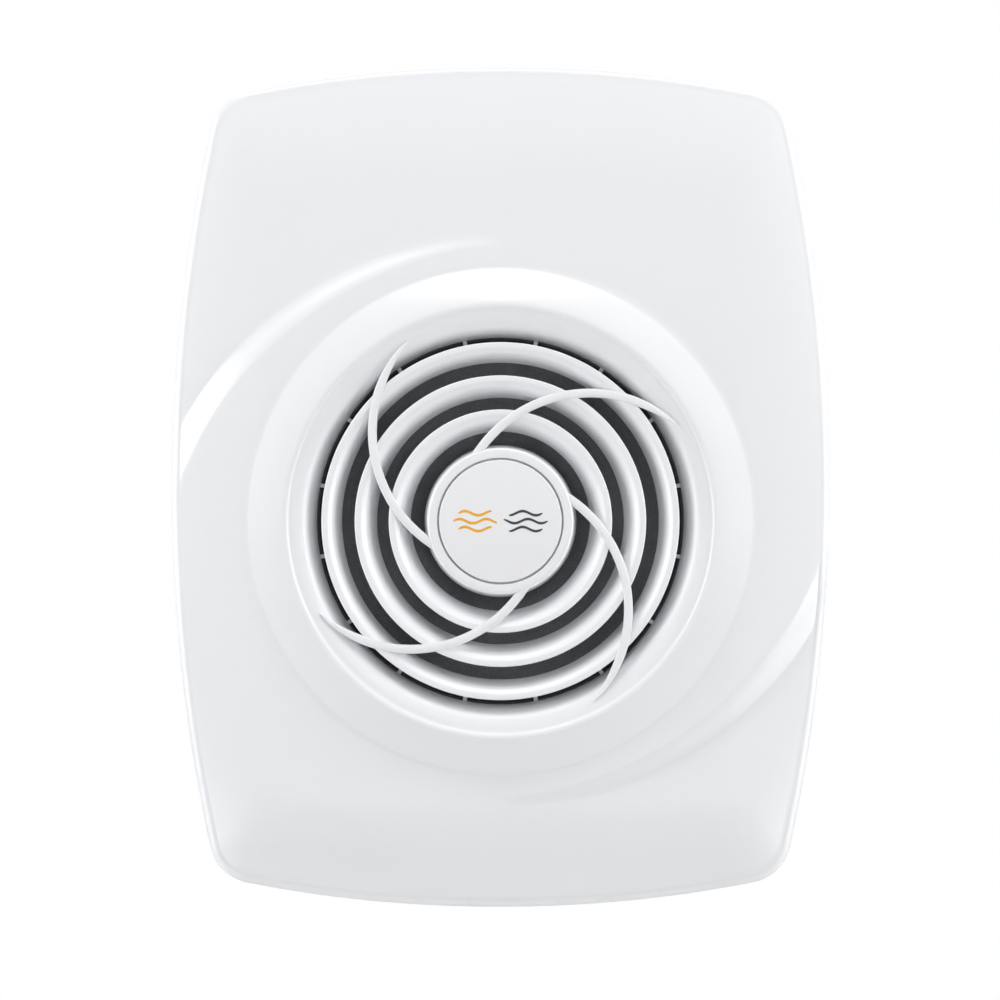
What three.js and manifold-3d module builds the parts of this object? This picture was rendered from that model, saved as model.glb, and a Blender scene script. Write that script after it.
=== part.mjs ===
// Through-wall heat recovery unit: room cover with a ring grille, fan, wall duct with the
// exchanger core, supply fan and outdoor cowl. Millimetres, +Z up.
// The origin is the axis of the duct on the room side of the wall. The room is at -Y,
// the outdoors at +Y, and +X is to the right for someone facing the cover.
import * as THREE from 'three';
import { mergeVertices } from 'three/addons/utils/BufferGeometryUtils.js';
import Module from 'manifold-3d';

const wasm = await Module();
wasm.setup();

// ---- Driving dimensions ----
const COVER_WIDTH = 250;
const COVER_HEIGHT = 320;
const COVER_LIFT = 13; // the cover's centre stands this far above the duct axis
const SIDE_RADIUS = 640; // bow of the two long sides
const END_RADIUS = 491.6; // bow of the top and bottom edges
const CORNER_RADIUS = 18;
const WALL_THICKNESS = 300;
const DUCT_INNER = 72.5;
const DUCT_OUTER = 75;
const GAP = 0.3; // clearance between pieces that touch

// Room cover
const SHELL = 2.6;
const PANEL_FRONT = -46;
const DOME_DROP = 6; // how far the panel falls back towards its edge
const DOME_WIDTH = 40;
const EDGE_RADIUS = 6;
const SKIRT_BACK = -1.5;
const SWIRL_RAISE = 4;
const STEP_WIDTH_LEAST = 3; // narrowest width of the step at the arms' ends
const CREASE_RADIUS = 96.2; // foot of the raised boss around the grille
const RECESS_BACK = -44;
const RECESS_RADIUS = 69.6;
const SLOT_PITCH = 17; // of the supply slots in the bottom skirt
const SLOT_WIDTH = 12;

// Grille
const GRILLE_FRONT = -54;
const HUB_FRONT = -55;
const RING_BACK_RADII = [34.0, 46.8, 60.1];
const RING_FRONT_RADII = [42.3, 55.2, 67.8];
const RING_LIP = 2.6;
const HUB_RADIUS = 27.6;
const BADGE_RADIUS = 23.2;
const TAB_COUNT = 16;
const SPOKE = { x: -2.46, z: -33.71, radius: 50.97, halfWidth: 1.7, from: 57, to: -44 };
const SPOKE_FRONT = -54.6;
const SPOKE_BACK = -47;

// Fan section on the wall plate
const PLATE_INSET = 5;
const PLATE_THICKNESS = 3;
const RIM_FRONT = -16;
const COLLAR_INNER = 69.7;
const HOUSING_RADIUS = 72;
const HOUSING_FRONT = -34;
const HOUSING_BACK = -14.3;
const HOUSING_WALL = 1.7;
const EAR_X = 72.7;
const EAR_Z = 42;
const BLADE_COUNT = 20;

// Exchanger and rear section inside the duct
const CORE_HALF = 48;
const CORE_APEX_FRONT = 60;
const CORE_APEX_BACK = 240;
const CORE_BODY_FRONT = 110;
const CORE_BODY_BACK = 190;
const SUPPLY_AXIS_Z = 34.5;
const SUPPLY_FRONT = 262;
const FLAP_Y = 246;
const FLAP_AXIS_Z = -5;

// Outdoor cowl
const FLANGE_HALF = 92;
const FLANGE_THICKNESS = 3.5;
const HOOD_HALF = 80;
const HOOD_BACK = 336;
const COWL_SCREW = 86;

// Control box
const TRAY_HALF = 70;
const TRAY_BOTTOM = 84;
const TRAY_TOP = 150;
const TRAY_FRONT = -22;
const BOARD_FRONT = -10.2; // where the parts on the board stand
const TRIM_X = 10;
const TRIM_Z = 97;

const DEGREE = Math.PI / 180;

// ---- Finishes ----
function finish(color, roughness, metalness = 0) {
  return new THREE.MeshStandardMaterial({ color, roughness, metalness });
}

const GLOSS_WHITE = finish(0xf4f5f7, 0.25);
const MATT_WHITE = finish(0xe9eaec, 0.5);
const BADGE_SILVER = finish(0xdfe1e4, 0.3);
const CHARCOAL_FOAM = finish(0x3a3c40, 0.95);
const GREY_FOAM = finish(0xa9adb3, 0.95);
const DARK_PLASTIC = finish(0x2b2d31, 0.5);
const DUCT_PLASTIC = finish(0xd9dadb, 0.45);
const CORE_PLASTIC = finish(0xcfe0ea, 0.35);
const EPP_FOAM = finish(0x4a4d52, 0.9);
const RUBBER = finish(0x1f2022, 0.85);
const STEEL = finish(0xc4c7ca, 0.35, 1);
const BOARD_GREEN = finish(0x1f6b3a, 0.45);
const TERMINAL_GREY = finish(0x8c9299, 0.5);
const BLUE_PLASTIC = finish(0x2f5f9e, 0.4);
const SLEEVE_BLACK = finish(0x17181a, 0.4);

// ---- Solids ----
function signedVolume(vertices, triangles) {
  const [a, b, c] = [new THREE.Vector3(), new THREE.Vector3(), new THREE.Vector3()];
  let volume = 0;
  for (let i = 0; i < triangles.length; i += 3) {
    a.fromArray(vertices, 3 * triangles[i]);
    b.fromArray(vertices, 3 * triangles[i + 1]);
    c.fromArray(vertices, 3 * triangles[i + 2]);
    volume += a.dot(b.cross(c)) / 6;
  }
  return volume;
}

function solid(geometry) {
  geometry.deleteAttribute('normal');
  geometry.deleteAttribute('uv');
  const merged = mergeVertices(geometry, 1e-4);
  const vertices = merged.attributes.position.array;
  const triangles = [];
  for (let i = 0; i < merged.index.count; i += 3) {
    const [p, q, r] = merged.index.array.slice(i, i + 3);
    if (p !== q && q !== r && r !== p) {
      triangles.push(p, q, r);
    }
  }
  if (signedVolume(vertices, triangles) < 0) {
    triangles.reverse();
  }
  const mesh = new wasm.Mesh({
    numProp: 3,
    vertProperties: new Float32Array(vertices),
    triVerts: new Uint32Array(triangles),
  });
  return new wasm.Manifold(mesh);
}

function union(parts) {
  return parts.reduce((whole, part) => whole.add(part));
}

function cut(body, tools) {
  return tools.reduce((rest, tool) => rest.subtract(tool), body);
}

function piece(name, body, material) {
  const { vertProperties, triVerts } = body.getMesh();
  const geometry = new THREE.BufferGeometry();
  geometry.setAttribute('position', new THREE.BufferAttribute(vertProperties, 3));
  geometry.setIndex(new THREE.BufferAttribute(triVerts, 1));
  geometry.computeVertexNormals();
  const mesh = new THREE.Mesh(geometry, material);
  mesh.name = name;
  return mesh;
}

// Box between two corners.
function box(x0, x1, y0, y1, z0, z1) {
  const geometry = new THREE.BoxGeometry(x1 - x0, y1 - y0, z1 - z0);
  return solid(geometry.translate((x0 + x1) / 2, (y0 + y1) / 2, (z0 + z1) / 2));
}

// Round bar along Y.
function bar(x, z, radius, y0, y1, sides = 12) {
  const geometry = new THREE.CylinderGeometry(radius, radius, y1 - y0, sides);
  return solid(geometry.translate(x, (y0 + y1) / 2, z));
}

// Round bar along X.
function crossBar(y, z, radius, x0, x1, sides = 12) {
  const geometry = new THREE.CylinderGeometry(radius, radius, x1 - x0, sides);
  return solid(geometry.rotateZ(Math.PI / 2).translate((x0 + x1) / 2, y, z));
}

// Round bar along Z.
function uprightBar(x, y, radius, z0, z1, sides = 16) {
  const geometry = new THREE.CylinderGeometry(radius, radius, z1 - z0, sides);
  return solid(geometry.rotateX(Math.PI / 2).translate(x, y, (z0 + z1) / 2));
}

// Solid of revolution about the duct axis, from [radius, y] corners of its section.
function turned(section, sides = 36) {
  const points = section.map(([radius, y]) => new THREE.Vector2(radius, y));
  if (section[0][0] > 0 || section.at(-1)[0] > 0) {
    points.push(points[0].clone());
  }
  return solid(new THREE.LatheGeometry(points, sides));
}

function ring(inner, outer, y0, y1, sides = 36) {
  return turned([[inner, y0], [outer, y0], [outer, y1], [inner, y1]], sides);
}

// Flat shape in X and Z, given thickness along Y.
function slab(shape, y0, y1, curveSegments = 12) {
  const options = { depth: y1 - y0, bevelEnabled: false, curveSegments };
  const geometry = new THREE.ExtrudeGeometry(shape, options);
  return solid(geometry.rotateX(Math.PI / 2).translate(0, y1, 0));
}

// Side profile in Y and Z, given width along X.
function beam(corners, x0, x1) {
  const shape = new THREE.Shape(corners.map(([y, z]) => new THREE.Vector2(y, z)));
  const geometry = new THREE.ExtrudeGeometry(shape, { depth: x1 - x0, bevelEnabled: false });
  const axes = [new THREE.Vector3(0, 1, 0), new THREE.Vector3(0, 0, 1), new THREE.Vector3(1, 0, 0)];
  geometry.applyMatrix4(new THREE.Matrix4().makeBasis(...axes));
  return solid(geometry.translate(x0, 0, 0));
}

// Half disc of the duct's section, above or below a chord.
function halfDisc(radius, chord, side = 1, steps = 20) {
  const start = Math.asin(chord / radius);
  const points = [];
  for (let i = 0; i <= steps; i++) {
    const angle = start + ((Math.PI - 2 * start) * i) / steps;
    points.push(new THREE.Vector2(radius * Math.cos(angle), side * radius * Math.sin(angle)));
  }
  return new THREE.Shape(points);
}

// ---- The cover's outline ----
const SIDE_CENTRE = COVER_WIDTH / 2 - SIDE_RADIUS;
const END_CENTRE = COVER_HEIGHT / 2 - END_RADIUS;

// Centre of the corner arc that touches both the side bow and the end bow from inside.
function cornerCentre() {
  const sideReach = SIDE_RADIUS - CORNER_RADIUS;
  const endReach = END_RADIUS - CORNER_RADIUS;
  const apart = Math.hypot(SIDE_CENTRE, END_CENTRE);
  const along = (sideReach ** 2 - endReach ** 2 + apart ** 2) / (2 * apart);
  const aside = Math.sqrt(sideReach ** 2 - along ** 2);
  const [ux, uz] = [-SIDE_CENTRE / apart, END_CENTRE / apart];
  return [SIDE_CENTRE + along * ux - aside * uz, along * uz + aside * ux];
}

const [CORNER_X, CORNER_Z] = cornerCentre();
const SIDE_SWEEP = Math.atan2(CORNER_Z, CORNER_X - SIDE_CENTRE);
const END_SWEEP = Math.atan2(CORNER_Z - END_CENTRE, CORNER_X);

function arcPoints(x, z, radius, from, to, steps) {
  return Array.from({ length: steps }, (_, i) => {
    const angle = from + ((to - from) * i) / steps;
    return [x + radius * Math.cos(angle), z + radius * Math.sin(angle)];
  });
}

// Points of the outline moved inwards by inset, anticlockwise from the right-hand side.
function outline(inset, steps = 4) {
  const quarter = [
    ...arcPoints(SIDE_CENTRE, 0, SIDE_RADIUS - inset, 0, SIDE_SWEEP, steps),
    ...arcPoints(CORNER_X, CORNER_Z, CORNER_RADIUS - inset, SIDE_SWEEP, END_SWEEP, steps),
    ...arcPoints(0, END_CENTRE, END_RADIUS - inset, END_SWEEP, Math.PI / 2, steps),
    [0, COVER_HEIGHT / 2 - inset],
  ];
  const rising = quarter.slice(0, -1);
  const falling = quarter.slice(1).reverse();
  const loop = [
    ...rising,
    ...falling.map(([x, z]) => [-x, z]),
    ...rising.map(([x, z]) => [-x, -z]),
    ...falling.map(([x, z]) => [x, -z]),
  ];
  return loop.map(([x, z]) => [x, z + COVER_LIFT]);
}

function outlineShape(inset, steps = 3) {
  return new THREE.Shape(outline(inset, steps).map(([x, z]) => new THREE.Vector2(x, z)));
}

// ---- Height of the cover's front surface ----
function insetAt(x, z) {
  const [ax, az] = [Math.abs(x), Math.abs(z - COVER_LIFT)];
  const fromSide = SIDE_RADIUS - Math.hypot(ax - SIDE_CENTRE, az);
  const fromEnd = END_RADIUS - Math.hypot(ax, az - END_CENTRE);
  return Math.max(0, Math.min(fromSide, fromEnd));
}

function edgeDrop(inset) {
  const dome = DOME_DROP * Math.max(0, 1 - inset / DOME_WIDTH) ** 2;
  const rest = Math.max(0, EDGE_RADIUS - inset);
  return dome + EDGE_RADIUS - Math.sqrt(EDGE_RADIUS ** 2 - rest ** 2);
}

// Distance from the duct axis to a circle, along a direction.
function reach(angle, [cx, cz], radius) {
  const along = cx * Math.cos(angle) + cz * Math.sin(angle);
  return along + Math.sqrt(along ** 2 - cx ** 2 - cz ** 2 + radius ** 2);
}

// The panel is raised on the left and right. Two curved arms, half a turn apart, step it down.
const ARM_CREST = { centre: [12.31, -38.62], radius: 144.37 };
const ARM_FOOT = { centre: [-0.65, -30.16], radius: 137.92 };

function swirlRaise(x, z) {
  const angle = Math.atan2(z, x);
  const raise = SWIRL_RAISE * Math.cos(angle) ** 2;
  const local = ((angle % Math.PI) + Math.PI) % Math.PI;
  if (local < Math.PI / 2) {
    return raise;
  }
  const crest = reach(local, ARM_CREST.centre, ARM_CREST.radius);
  const foot = reach(local, ARM_FOOT.centre, ARM_FOOT.radius);
  const step = THREE.MathUtils.smoothstep(Math.hypot(x, z), crest, Math.max(foot, crest + STEP_WIDTH_LEAST));
  return raise * (1 - step);
}

function panelFront(x, z) {
  return PANEL_FRONT - swirlRaise(x, z) + edgeDrop(insetAt(x, z));
}

// ---- Cover group ----
// Closed skin through loops of points, the last loop joined to the first.
function skin(loops) {
  const count = loops[0].length;
  const triangles = [];
  loops.forEach((loop, i) => {
    const next = (i + 1) % loops.length;
    loop.forEach((_, j) => {
      const k = (j + 1) % count;
      const [a, b, c, d] = [i * count + j, i * count + k, next * count + k, next * count + j];
      triangles.push(a, b, c, a, c, d);
    });
  });
  const geometry = new THREE.BufferGeometry();
  geometry.setAttribute('position', new THREE.Float32BufferAttribute(loops.flat(2), 3));
  geometry.setIndex(triangles);
  return solid(geometry);
}

function coverShell() {
  const edge = outline(0);
  const circle = (radius, y) => edge.map(([x, z]) => {
    const scale = radius / Math.hypot(x, z);
    return [x * scale, y, z * scale];
  });
  const onPanel = (loop, depth) => loop.map(([x, z]) => [x, panelFront(x, z) + depth, z]);
  const between = (share, depth) => {
    const foot = circle(CREASE_RADIUS, 0);
    const loop = outline(18).map(([x, z], j) => [
      foot[j][0] + (x - foot[j][0]) * share,
      foot[j][2] + (z - foot[j][2]) * share,
    ]);
    return onPanel(loop, depth);
  };
  const flat = (inset, y) => outline(inset).map(([x, z]) => [x, y, z]);
  const edgeTop = PANEL_FRONT + DOME_DROP + EDGE_RADIUS;
  return skin([
    circle(RECESS_RADIUS, RECESS_BACK),
    circle(72.8, -47.8),
    circle(75.2, -52),
    circle(76.4, -54.6),
    circle(78.6, -55.5),
    circle(81.4, -55),
    circle(89, -52.6),
    between(0, 0),
    between(0.35, 0),
    between(0.7, 0),
    between(1, 0),
    onPanel(outline(EDGE_RADIUS), 0),
    onPanel(outline(1.8), 0),
    flat(0, edgeTop),
    flat(0, SKIRT_BACK),
    flat(SHELL, SKIRT_BACK),
    flat(SHELL, edgeTop + 1),
    onPanel(outline(EDGE_RADIUS + 1), SHELL),
    between(1, SHELL),
    between(0.5, SHELL),
    between(0, SHELL),
    circle(86, -50.4),
    circle(79.4, -52.8),
    circle(76.4, -49.6),
    circle(72.4, RECESS_BACK),
  ]);
}

// Slots in the bottom skirt that let the supply air out.
function skirtSlots() {
  const slots = [];
  for (let x = -3 * SLOT_PITCH; x <= 3 * SLOT_PITCH; x += SLOT_PITCH) {
    slots.push(box(x - SLOT_WIDTH / 2, x + SLOT_WIDTH / 2, -24, -9, -155, -136));
  }
  return slots;
}

function frontCover() {
  const ribs = [-70, 70].flatMap((z) => [-1, 1].map((side) => {
    const wall = SIDE_CENTRE + Math.sqrt((SIDE_RADIUS - SHELL) ** 2 - (z - COVER_LIFT) ** 2);
    const [inside, outside] = [side * (wall - 1), side * (wall + 1)];
    return box(Math.min(inside, outside), Math.max(inside, outside), -8.5, -6.5, z - 9, z + 9);
  }));
  return piece('front_cover', cut(union([coverShell(), ...ribs]), skirtSlots()), GLOSS_WHITE);
}

function grilleRing(back, front) {
  return turned([
    [back, RECESS_BACK],
    [front - RING_LIP, GRILLE_FRONT],
    [front, GRILLE_FRONT],
    [front, GRILLE_FRONT + 2],
    [back + 1.6, RECESS_BACK],
  ]);
}

function grilleHub() {
  const floor = HUB_FRONT + 2.1;
  return turned([
    [0, floor],
    [BADGE_RADIUS + 0.8, floor],
    [BADGE_RADIUS + 0.8, HUB_FRONT],
    [HUB_RADIUS, HUB_FRONT],
    [HUB_RADIUS + 1.3, RECESS_BACK],
    [HUB_RADIUS - 0.5, RECESS_BACK],
    [HUB_RADIUS - 1.7, floor + 1.8],
    [0, floor + 1.8],
  ]);
}

// One curved spoke from the hub to the rim of the recess.
function grilleSpoke(turn) {
  const { x, z, radius, halfWidth } = SPOKE;
  const [from, to] = [SPOKE.from * DEGREE, SPOKE.to * DEGREE];
  const shape = new THREE.Shape();
  shape.absarc(x, z, radius + halfWidth, from, to, true);
  shape.absarc(x, z, radius - halfWidth, to, from, false);
  const options = { depth: SPOKE_BACK - SPOKE_FRONT, bevelEnabled: false, curveSegments: 7 };
  const geometry = new THREE.ExtrudeGeometry(shape, options);
  geometry.rotateX(Math.PI / 2).translate(0, SPOKE_BACK, 0).rotateY(-turn);
  return solid(geometry);
}

// Feet that join the outer ring to the flange behind the recess.
function grilleTabs() {
  return Array.from({ length: TAB_COUNT }, (_, i) => {
    const geometry = new THREE.BoxGeometry(3.2, 11, 1.4).translate(67.2, -46.9, 0);
    return solid(geometry.rotateY(((i + 0.5) * 2 * Math.PI) / TAB_COUNT));
  });
}

function swirlGrille() {
  const keepOut = turned([
    [68.7, RECESS_BACK + 0.2],
    [74.2, -52],
    [75.4, -60],
    [100, -60],
    [100, RECESS_BACK + 0.2],
  ]);
  const rings = RING_BACK_RADII.map((back, i) => grilleRing(back, RING_FRONT_RADII[i]));
  const spokes = [0, 1, 2, 3].map((quarter) => grilleSpoke((quarter * Math.PI) / 2));
  const flange = ring(68.4, 73.6, -43.5, -41.4);
  const body = union([grilleHub(), ...rings, ...spokes, ...grilleTabs(), flange]);
  return piece('swirl_grille', body.subtract(keepOut), GLOSS_WHITE);
}

function badgeDisc() {
  const back = HUB_FRONT + 1.8;
  const section = [
    [0, HUB_FRONT - GAP],
    [BADGE_RADIUS - 0.6, HUB_FRONT - 0.1],
    [BADGE_RADIUS, HUB_FRONT + 0.4],
    [BADGE_RADIUS, back],
    [0, back],
  ];
  return piece('badge_disc', turned(section), BADGE_SILVER);
}

// ---- Wall plate group ----
const PLATE_SCREWS = [[-98, 122], [98, 122], [-98, -98], [98, -98]];
const EARS = [[-EAR_X, EAR_Z], [EAR_X, EAR_Z], [-EAR_X, -EAR_Z], [EAR_X, -EAR_Z]];
const CABLE_ENTRY = { left: -57, right: -33, bottom: 98, top: 112 };

function wallPlate() {
  const pillars = EARS.map(([x, z]) => bar(x, z, 4.6, -13.9, -1));
  const block = slab(outlineShape(PLATE_INSET), RIM_FRONT, 0);
  const pocket = slab(outlineShape(PLATE_INSET + 2), RIM_FRONT - 1, -PLATE_THICKNESS);
  const base = union([block.subtract(pocket), ...pillars]);
  const { left, right, bottom, top } = CABLE_ENTRY;
  const tools = [
    bar(0, 0, DUCT_INNER, -10, 10, 36),
    ring(79.7, 86.3, -1.8, 1),
    box(left, right, -10, 10, bottom, top),
    box(-64, 64, RIM_FRONT - 1, -PLATE_THICKNESS, -150, -134),
    ...PLATE_SCREWS.map(([x, z]) => box(x - 2.8, x + 2.8, -10, 10, z - 6, z + 6)),
    ...EARS.map(([x, z]) => bar(x, z, 2.2, -15, -6, 8)),
  ];
  return piece('wall_plate', cut(base, tools), MATT_WHITE);
}

// Collar pressed through the plate, which the duct slides over.
function ductCollar() {
  return piece('duct_collar', ring(COLLAR_INNER, DUCT_INNER - GAP, -PLATE_THICKNESS, 18), MATT_WHITE);
}

function wallSeal() {
  return piece('wall_seal', ring(80, 86, -1.5, 0), RUBBER);
}

function wallDuct() {
  return piece('wall_duct', ring(DUCT_INNER, DUCT_OUTER, GAP, WALL_THICKNESS - GAP), DUCT_PLASTIC);
}

// Shape of the air guide: a disc over the duct that widens down to the outlet slots.
function guideShape(radius, halfWidth, bottom) {
  const shape = new THREE.Shape();
  shape.moveTo(halfWidth, bottom);
  shape.lineTo(radius, 0);
  shape.absarc(0, 0, radius, 0, Math.PI, false);
  shape.lineTo(-halfWidth, bottom);
  return shape;
}

function airGuide() {
  const [front, back] = [-13.7, -3.3];
  const shell = slab(guideShape(68, 62, -132), front, back, 20);
  const cavity = slab(guideShape(65.6, 59.6, -133), front + 2, back + 1, 20);
  const belowDivider = box(-80, 80, front - 5, back + 5, -140, -3.5);
  const upperPort = slab(halfDisc(63, 6), front - 1, back + 1);
  return piece('air_guide', cut(shell, [cavity.intersect(belowDivider), upperPort]), MATT_WHITE);
}

function fanHousing() {
  const ears = EARS.map(([x, z]) => {
    const geometry = new THREE.BoxGeometry(26, HOUSING_WALL, 11);
    geometry.translate(78, HOUSING_BACK - HOUSING_WALL / 2, 0);
    return solid(geometry.rotateY(-Math.atan2(z, x)));
  });
  const cup = bar(0, 0, HOUSING_RADIUS, HOUSING_FRONT, HOUSING_BACK, 36);
  const tools = [
    bar(0, 0, HOUSING_RADIUS - 2.8, HOUSING_FRONT - 1, HOUSING_BACK - HOUSING_WALL, 36),
    slab(halfDisc(63, 6), -17, -13).subtract(bar(0, 0, 27, -18, -12, 24)),
    ...EARS.map(([x, z]) => bar(x, z, 2.3, -20, -10, 8)),
  ];
  return piece('fan_housing', cut(union([cup, ...ears]), tools), DARK_PLASTIC);
}

function inletRing() {
  const section = [
    [HOUSING_RADIUS, -36.8],
    [HOUSING_RADIUS, HOUSING_FRONT - GAP],
    [49, HOUSING_FRONT - GAP],
    [45, -33.2],
    [46.5, -36.8],
  ];
  return piece('inlet_ring', turned(section), DARK_PLASTIC);
}

function filterFrame() {
  const bars = [0, Math.PI / 2].map((turn) => {
    return solid(new THREE.BoxGeometry(139, 0.9, 3).translate(0, -37.6, 0).rotateY(turn));
  });
  const body = union([ring(68.5, HOUSING_RADIUS, -41, -37.1), ...bars]);
  return piece('filter_frame', body, DARK_PLASTIC);
}

function extractFilter() {
  return piece('extract_filter', bar(0, 0, 68.1, -41, -38.4, 36), CHARCOAL_FOAM);
}

function extractMotor() {
  const [shaft, can, flange] = [1.5, 15.5, 24];
  const section = [
    [0, -28],
    [shaft, -28],
    [shaft, -27],
    [can, -27],
    [can, -17.6],
    [flange, -17.6],
    [flange, -16.3],
    [0, -16.3],
  ];
  return piece('extract_motor', turned(section, 24), STEEL);
}

function extractRotorCap() {
  const [outer, inner, front, back] = [21, 16.4, -30.5, -19];
  const section = [
    [0, front],
    [outer - 1.5, front],
    [outer, front + 1.5],
    [outer, back],
    [inner, back],
    [inner, front + 2],
    [0, front + 2],
  ];
  return piece('extract_rotor_cap', turned(section, 24), DARK_PLASTIC);
}

function extractImpeller() {
  const blades = Array.from({ length: BLADE_COUNT }, (_, i) => {
    const geometry = new THREE.BoxGeometry(16, 12.6, 1.2).rotateY(-0.6).translate(52.5, -25.3, 0);
    return solid(geometry.rotateY((i * 2 * Math.PI) / BLADE_COUNT));
  });
  const body = union([ring(21.3, 61, -19.6, -18.4), ring(47, 61, -32.6, -31.2), ...blades]);
  return piece('extract_impeller', body, DARK_PLASTIC);
}

// ---- Duct group ----
function exchangerCore() {
  const profile = [
    [CORE_APEX_FRONT, 0],
    [CORE_BODY_FRONT, -CORE_HALF],
    [CORE_BODY_BACK, -CORE_HALF],
    [CORE_APEX_BACK, 0],
    [CORE_BODY_BACK, CORE_HALF],
    [CORE_BODY_FRONT, CORE_HALF],
  ];
  return piece('exchanger_core', beam(profile, -CORE_HALF, CORE_HALF), CORE_PLASTIC);
}

function coreCradle(name, side) {
  const notch = CORE_HALF + GAP;
  const half = slab(halfDisc(DUCT_INNER - GAP, 0.2, side), CORE_BODY_FRONT + GAP, CORE_BODY_BACK - GAP);
  const core = box(-notch, notch, CORE_BODY_FRONT, CORE_BODY_BACK, -notch, notch);
  return piece(name, half.subtract(core), EPP_FOAM);
}

function frontDivider() {
  return piece('front_divider', box(-69, 69, -2.9, CORE_APEX_FRONT - 0.6, -1.5, 1.5), EPP_FOAM);
}

function rearDivider() {
  const lugs = [-63.5, 63.5].map((x) => {
    return box(x - 1.5, x + 1.5, FLAP_Y - 3, FLAP_Y + 3, FLAP_AXIS_Z - 3, 0);
  });
  const plate = box(-71.5, 71.5, CORE_APEX_BACK + 0.6, WALL_THICKNESS - 0.6, -1.5, 1.5);
  const pinHole = crossBar(FLAP_Y, FLAP_AXIS_Z, 1.5, -70, 70);
  return piece('rear_divider', union([plate, ...lugs]).subtract(pinHole), EPP_FOAM);
}

function rearBulkhead() {
  const plate = slab(halfDisc(DUCT_INNER - 0.4, 1.8), 258, 261.7);
  return piece('rear_bulkhead', plate.subtract(bar(0, SUPPLY_AXIS_Z, 28, 250, 270, 28)), MATT_WHITE);
}

function supplyFanFrame() {
  const half = 30;
  const back = SUPPLY_FRONT + 25;
  const block = box(-half, half, SUPPLY_FRONT, back, SUPPLY_AXIS_Z - half, SUPPLY_AXIS_Z + half);
  const bore = bar(0, SUPPLY_AXIS_Z, 28.5, SUPPLY_FRONT - 1, back + 1, 28);
  const holes = [-1, 1].flatMap((sx) => [-1, 1].map((sz) => {
    return bar(sx * 25.5, SUPPLY_AXIS_Z + sz * 25.5, 2.1, SUPPLY_FRONT - 1, back + 1, 8);
  }));
  const struts = [0, 1, 2, 3].map((quarter) => {
    const geometry = new THREE.BoxGeometry(18, 3.6, 2.6).translate(21, back - 2, 0);
    geometry.rotateY(quarter * Math.PI / 2 + 0.4).translate(0, 0, SUPPLY_AXIS_Z);
    return solid(geometry);
  });
  const hub = bar(0, SUPPLY_AXIS_Z, 13, back - 4.2, back - 0.2, 24);
  return piece('supply_fan_frame', union([cut(block, [bore, ...holes]), hub, ...struts]), DARK_PLASTIC);
}

function supplyImpeller() {
  const blades = Array.from({ length: 7 }, (_, i) => {
    const geometry = new THREE.BoxGeometry(16, 1.3, 15).rotateX(0.7).translate(19.4, 272, 0);
    geometry.rotateY((i * 2 * Math.PI) / 7).translate(0, 0, SUPPLY_AXIS_Z);
    return solid(geometry);
  });
  const hub = bar(0, SUPPLY_AXIS_Z, 13, SUPPLY_FRONT + 1, 281.8, 24);
  return piece('supply_impeller', union([hub, ...blades]), DARK_PLASTIC);
}

function intakeFilter() {
  return piece('intake_filter', slab(halfDisc(DUCT_INNER - 0.5, 1.8), 289, 297), GREY_FOAM);
}

// Curved strip along the bottom of the duct, between two directions in degrees.
function gutter(from, to, y0, y1) {
  const shape = new THREE.Shape();
  shape.absarc(0, 0, 72.1, from * DEGREE, to * DEGREE, false);
  shape.absarc(0, 0, 70.4, to * DEGREE, from * DEGREE, true);
  return slab(shape, y0, y1, 10);
}

function dripTray() {
  const body = union([gutter(-125, -55, 192, WALL_THICKNESS - 0.5), gutter(-98, -82, 290, 315)]);
  return piece('drip_tray', body, MATT_WHITE);
}

function exhaustFlap() {
  const plate = slab(halfDisc(68.8, 8.4, -1), FLAP_Y - 0.8, FLAP_Y + 0.8);
  const knuckles = [-25, 25].flatMap((x) => [
    crossBar(FLAP_Y, FLAP_AXIS_Z, 2.9, x - 5, x + 5),
    box(x - 5, x + 5, FLAP_Y - 0.8, FLAP_Y + 0.8, -10, FLAP_AXIS_Z - 1),
  ]);
  const tools = [
    crossBar(FLAP_Y, FLAP_AXIS_Z, 1.6, -40, 40),
    box(-80, -59, FLAP_Y - 2, FLAP_Y + 2, -12.5, 0),
    box(59, 80, FLAP_Y - 2, FLAP_Y + 2, -12.5, 0),
  ];
  return piece('exhaust_flap', cut(union([plate, ...knuckles]), tools), MATT_WHITE);
}

function flapPin() {
  return piece('flap_pin', crossBar(FLAP_Y, FLAP_AXIS_Z, 1.2, -67, 67), STEEL);
}

// ---- Outdoor cowl group ----
const COWL_SCREWS = [
  [-COWL_SCREW, COWL_SCREW],
  [COWL_SCREW, COWL_SCREW],
  [-COWL_SCREW, -COWL_SCREW],
  [COWL_SCREW, -COWL_SCREW],
];
const MESH_FRONT = HOOD_BACK - 14;

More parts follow.
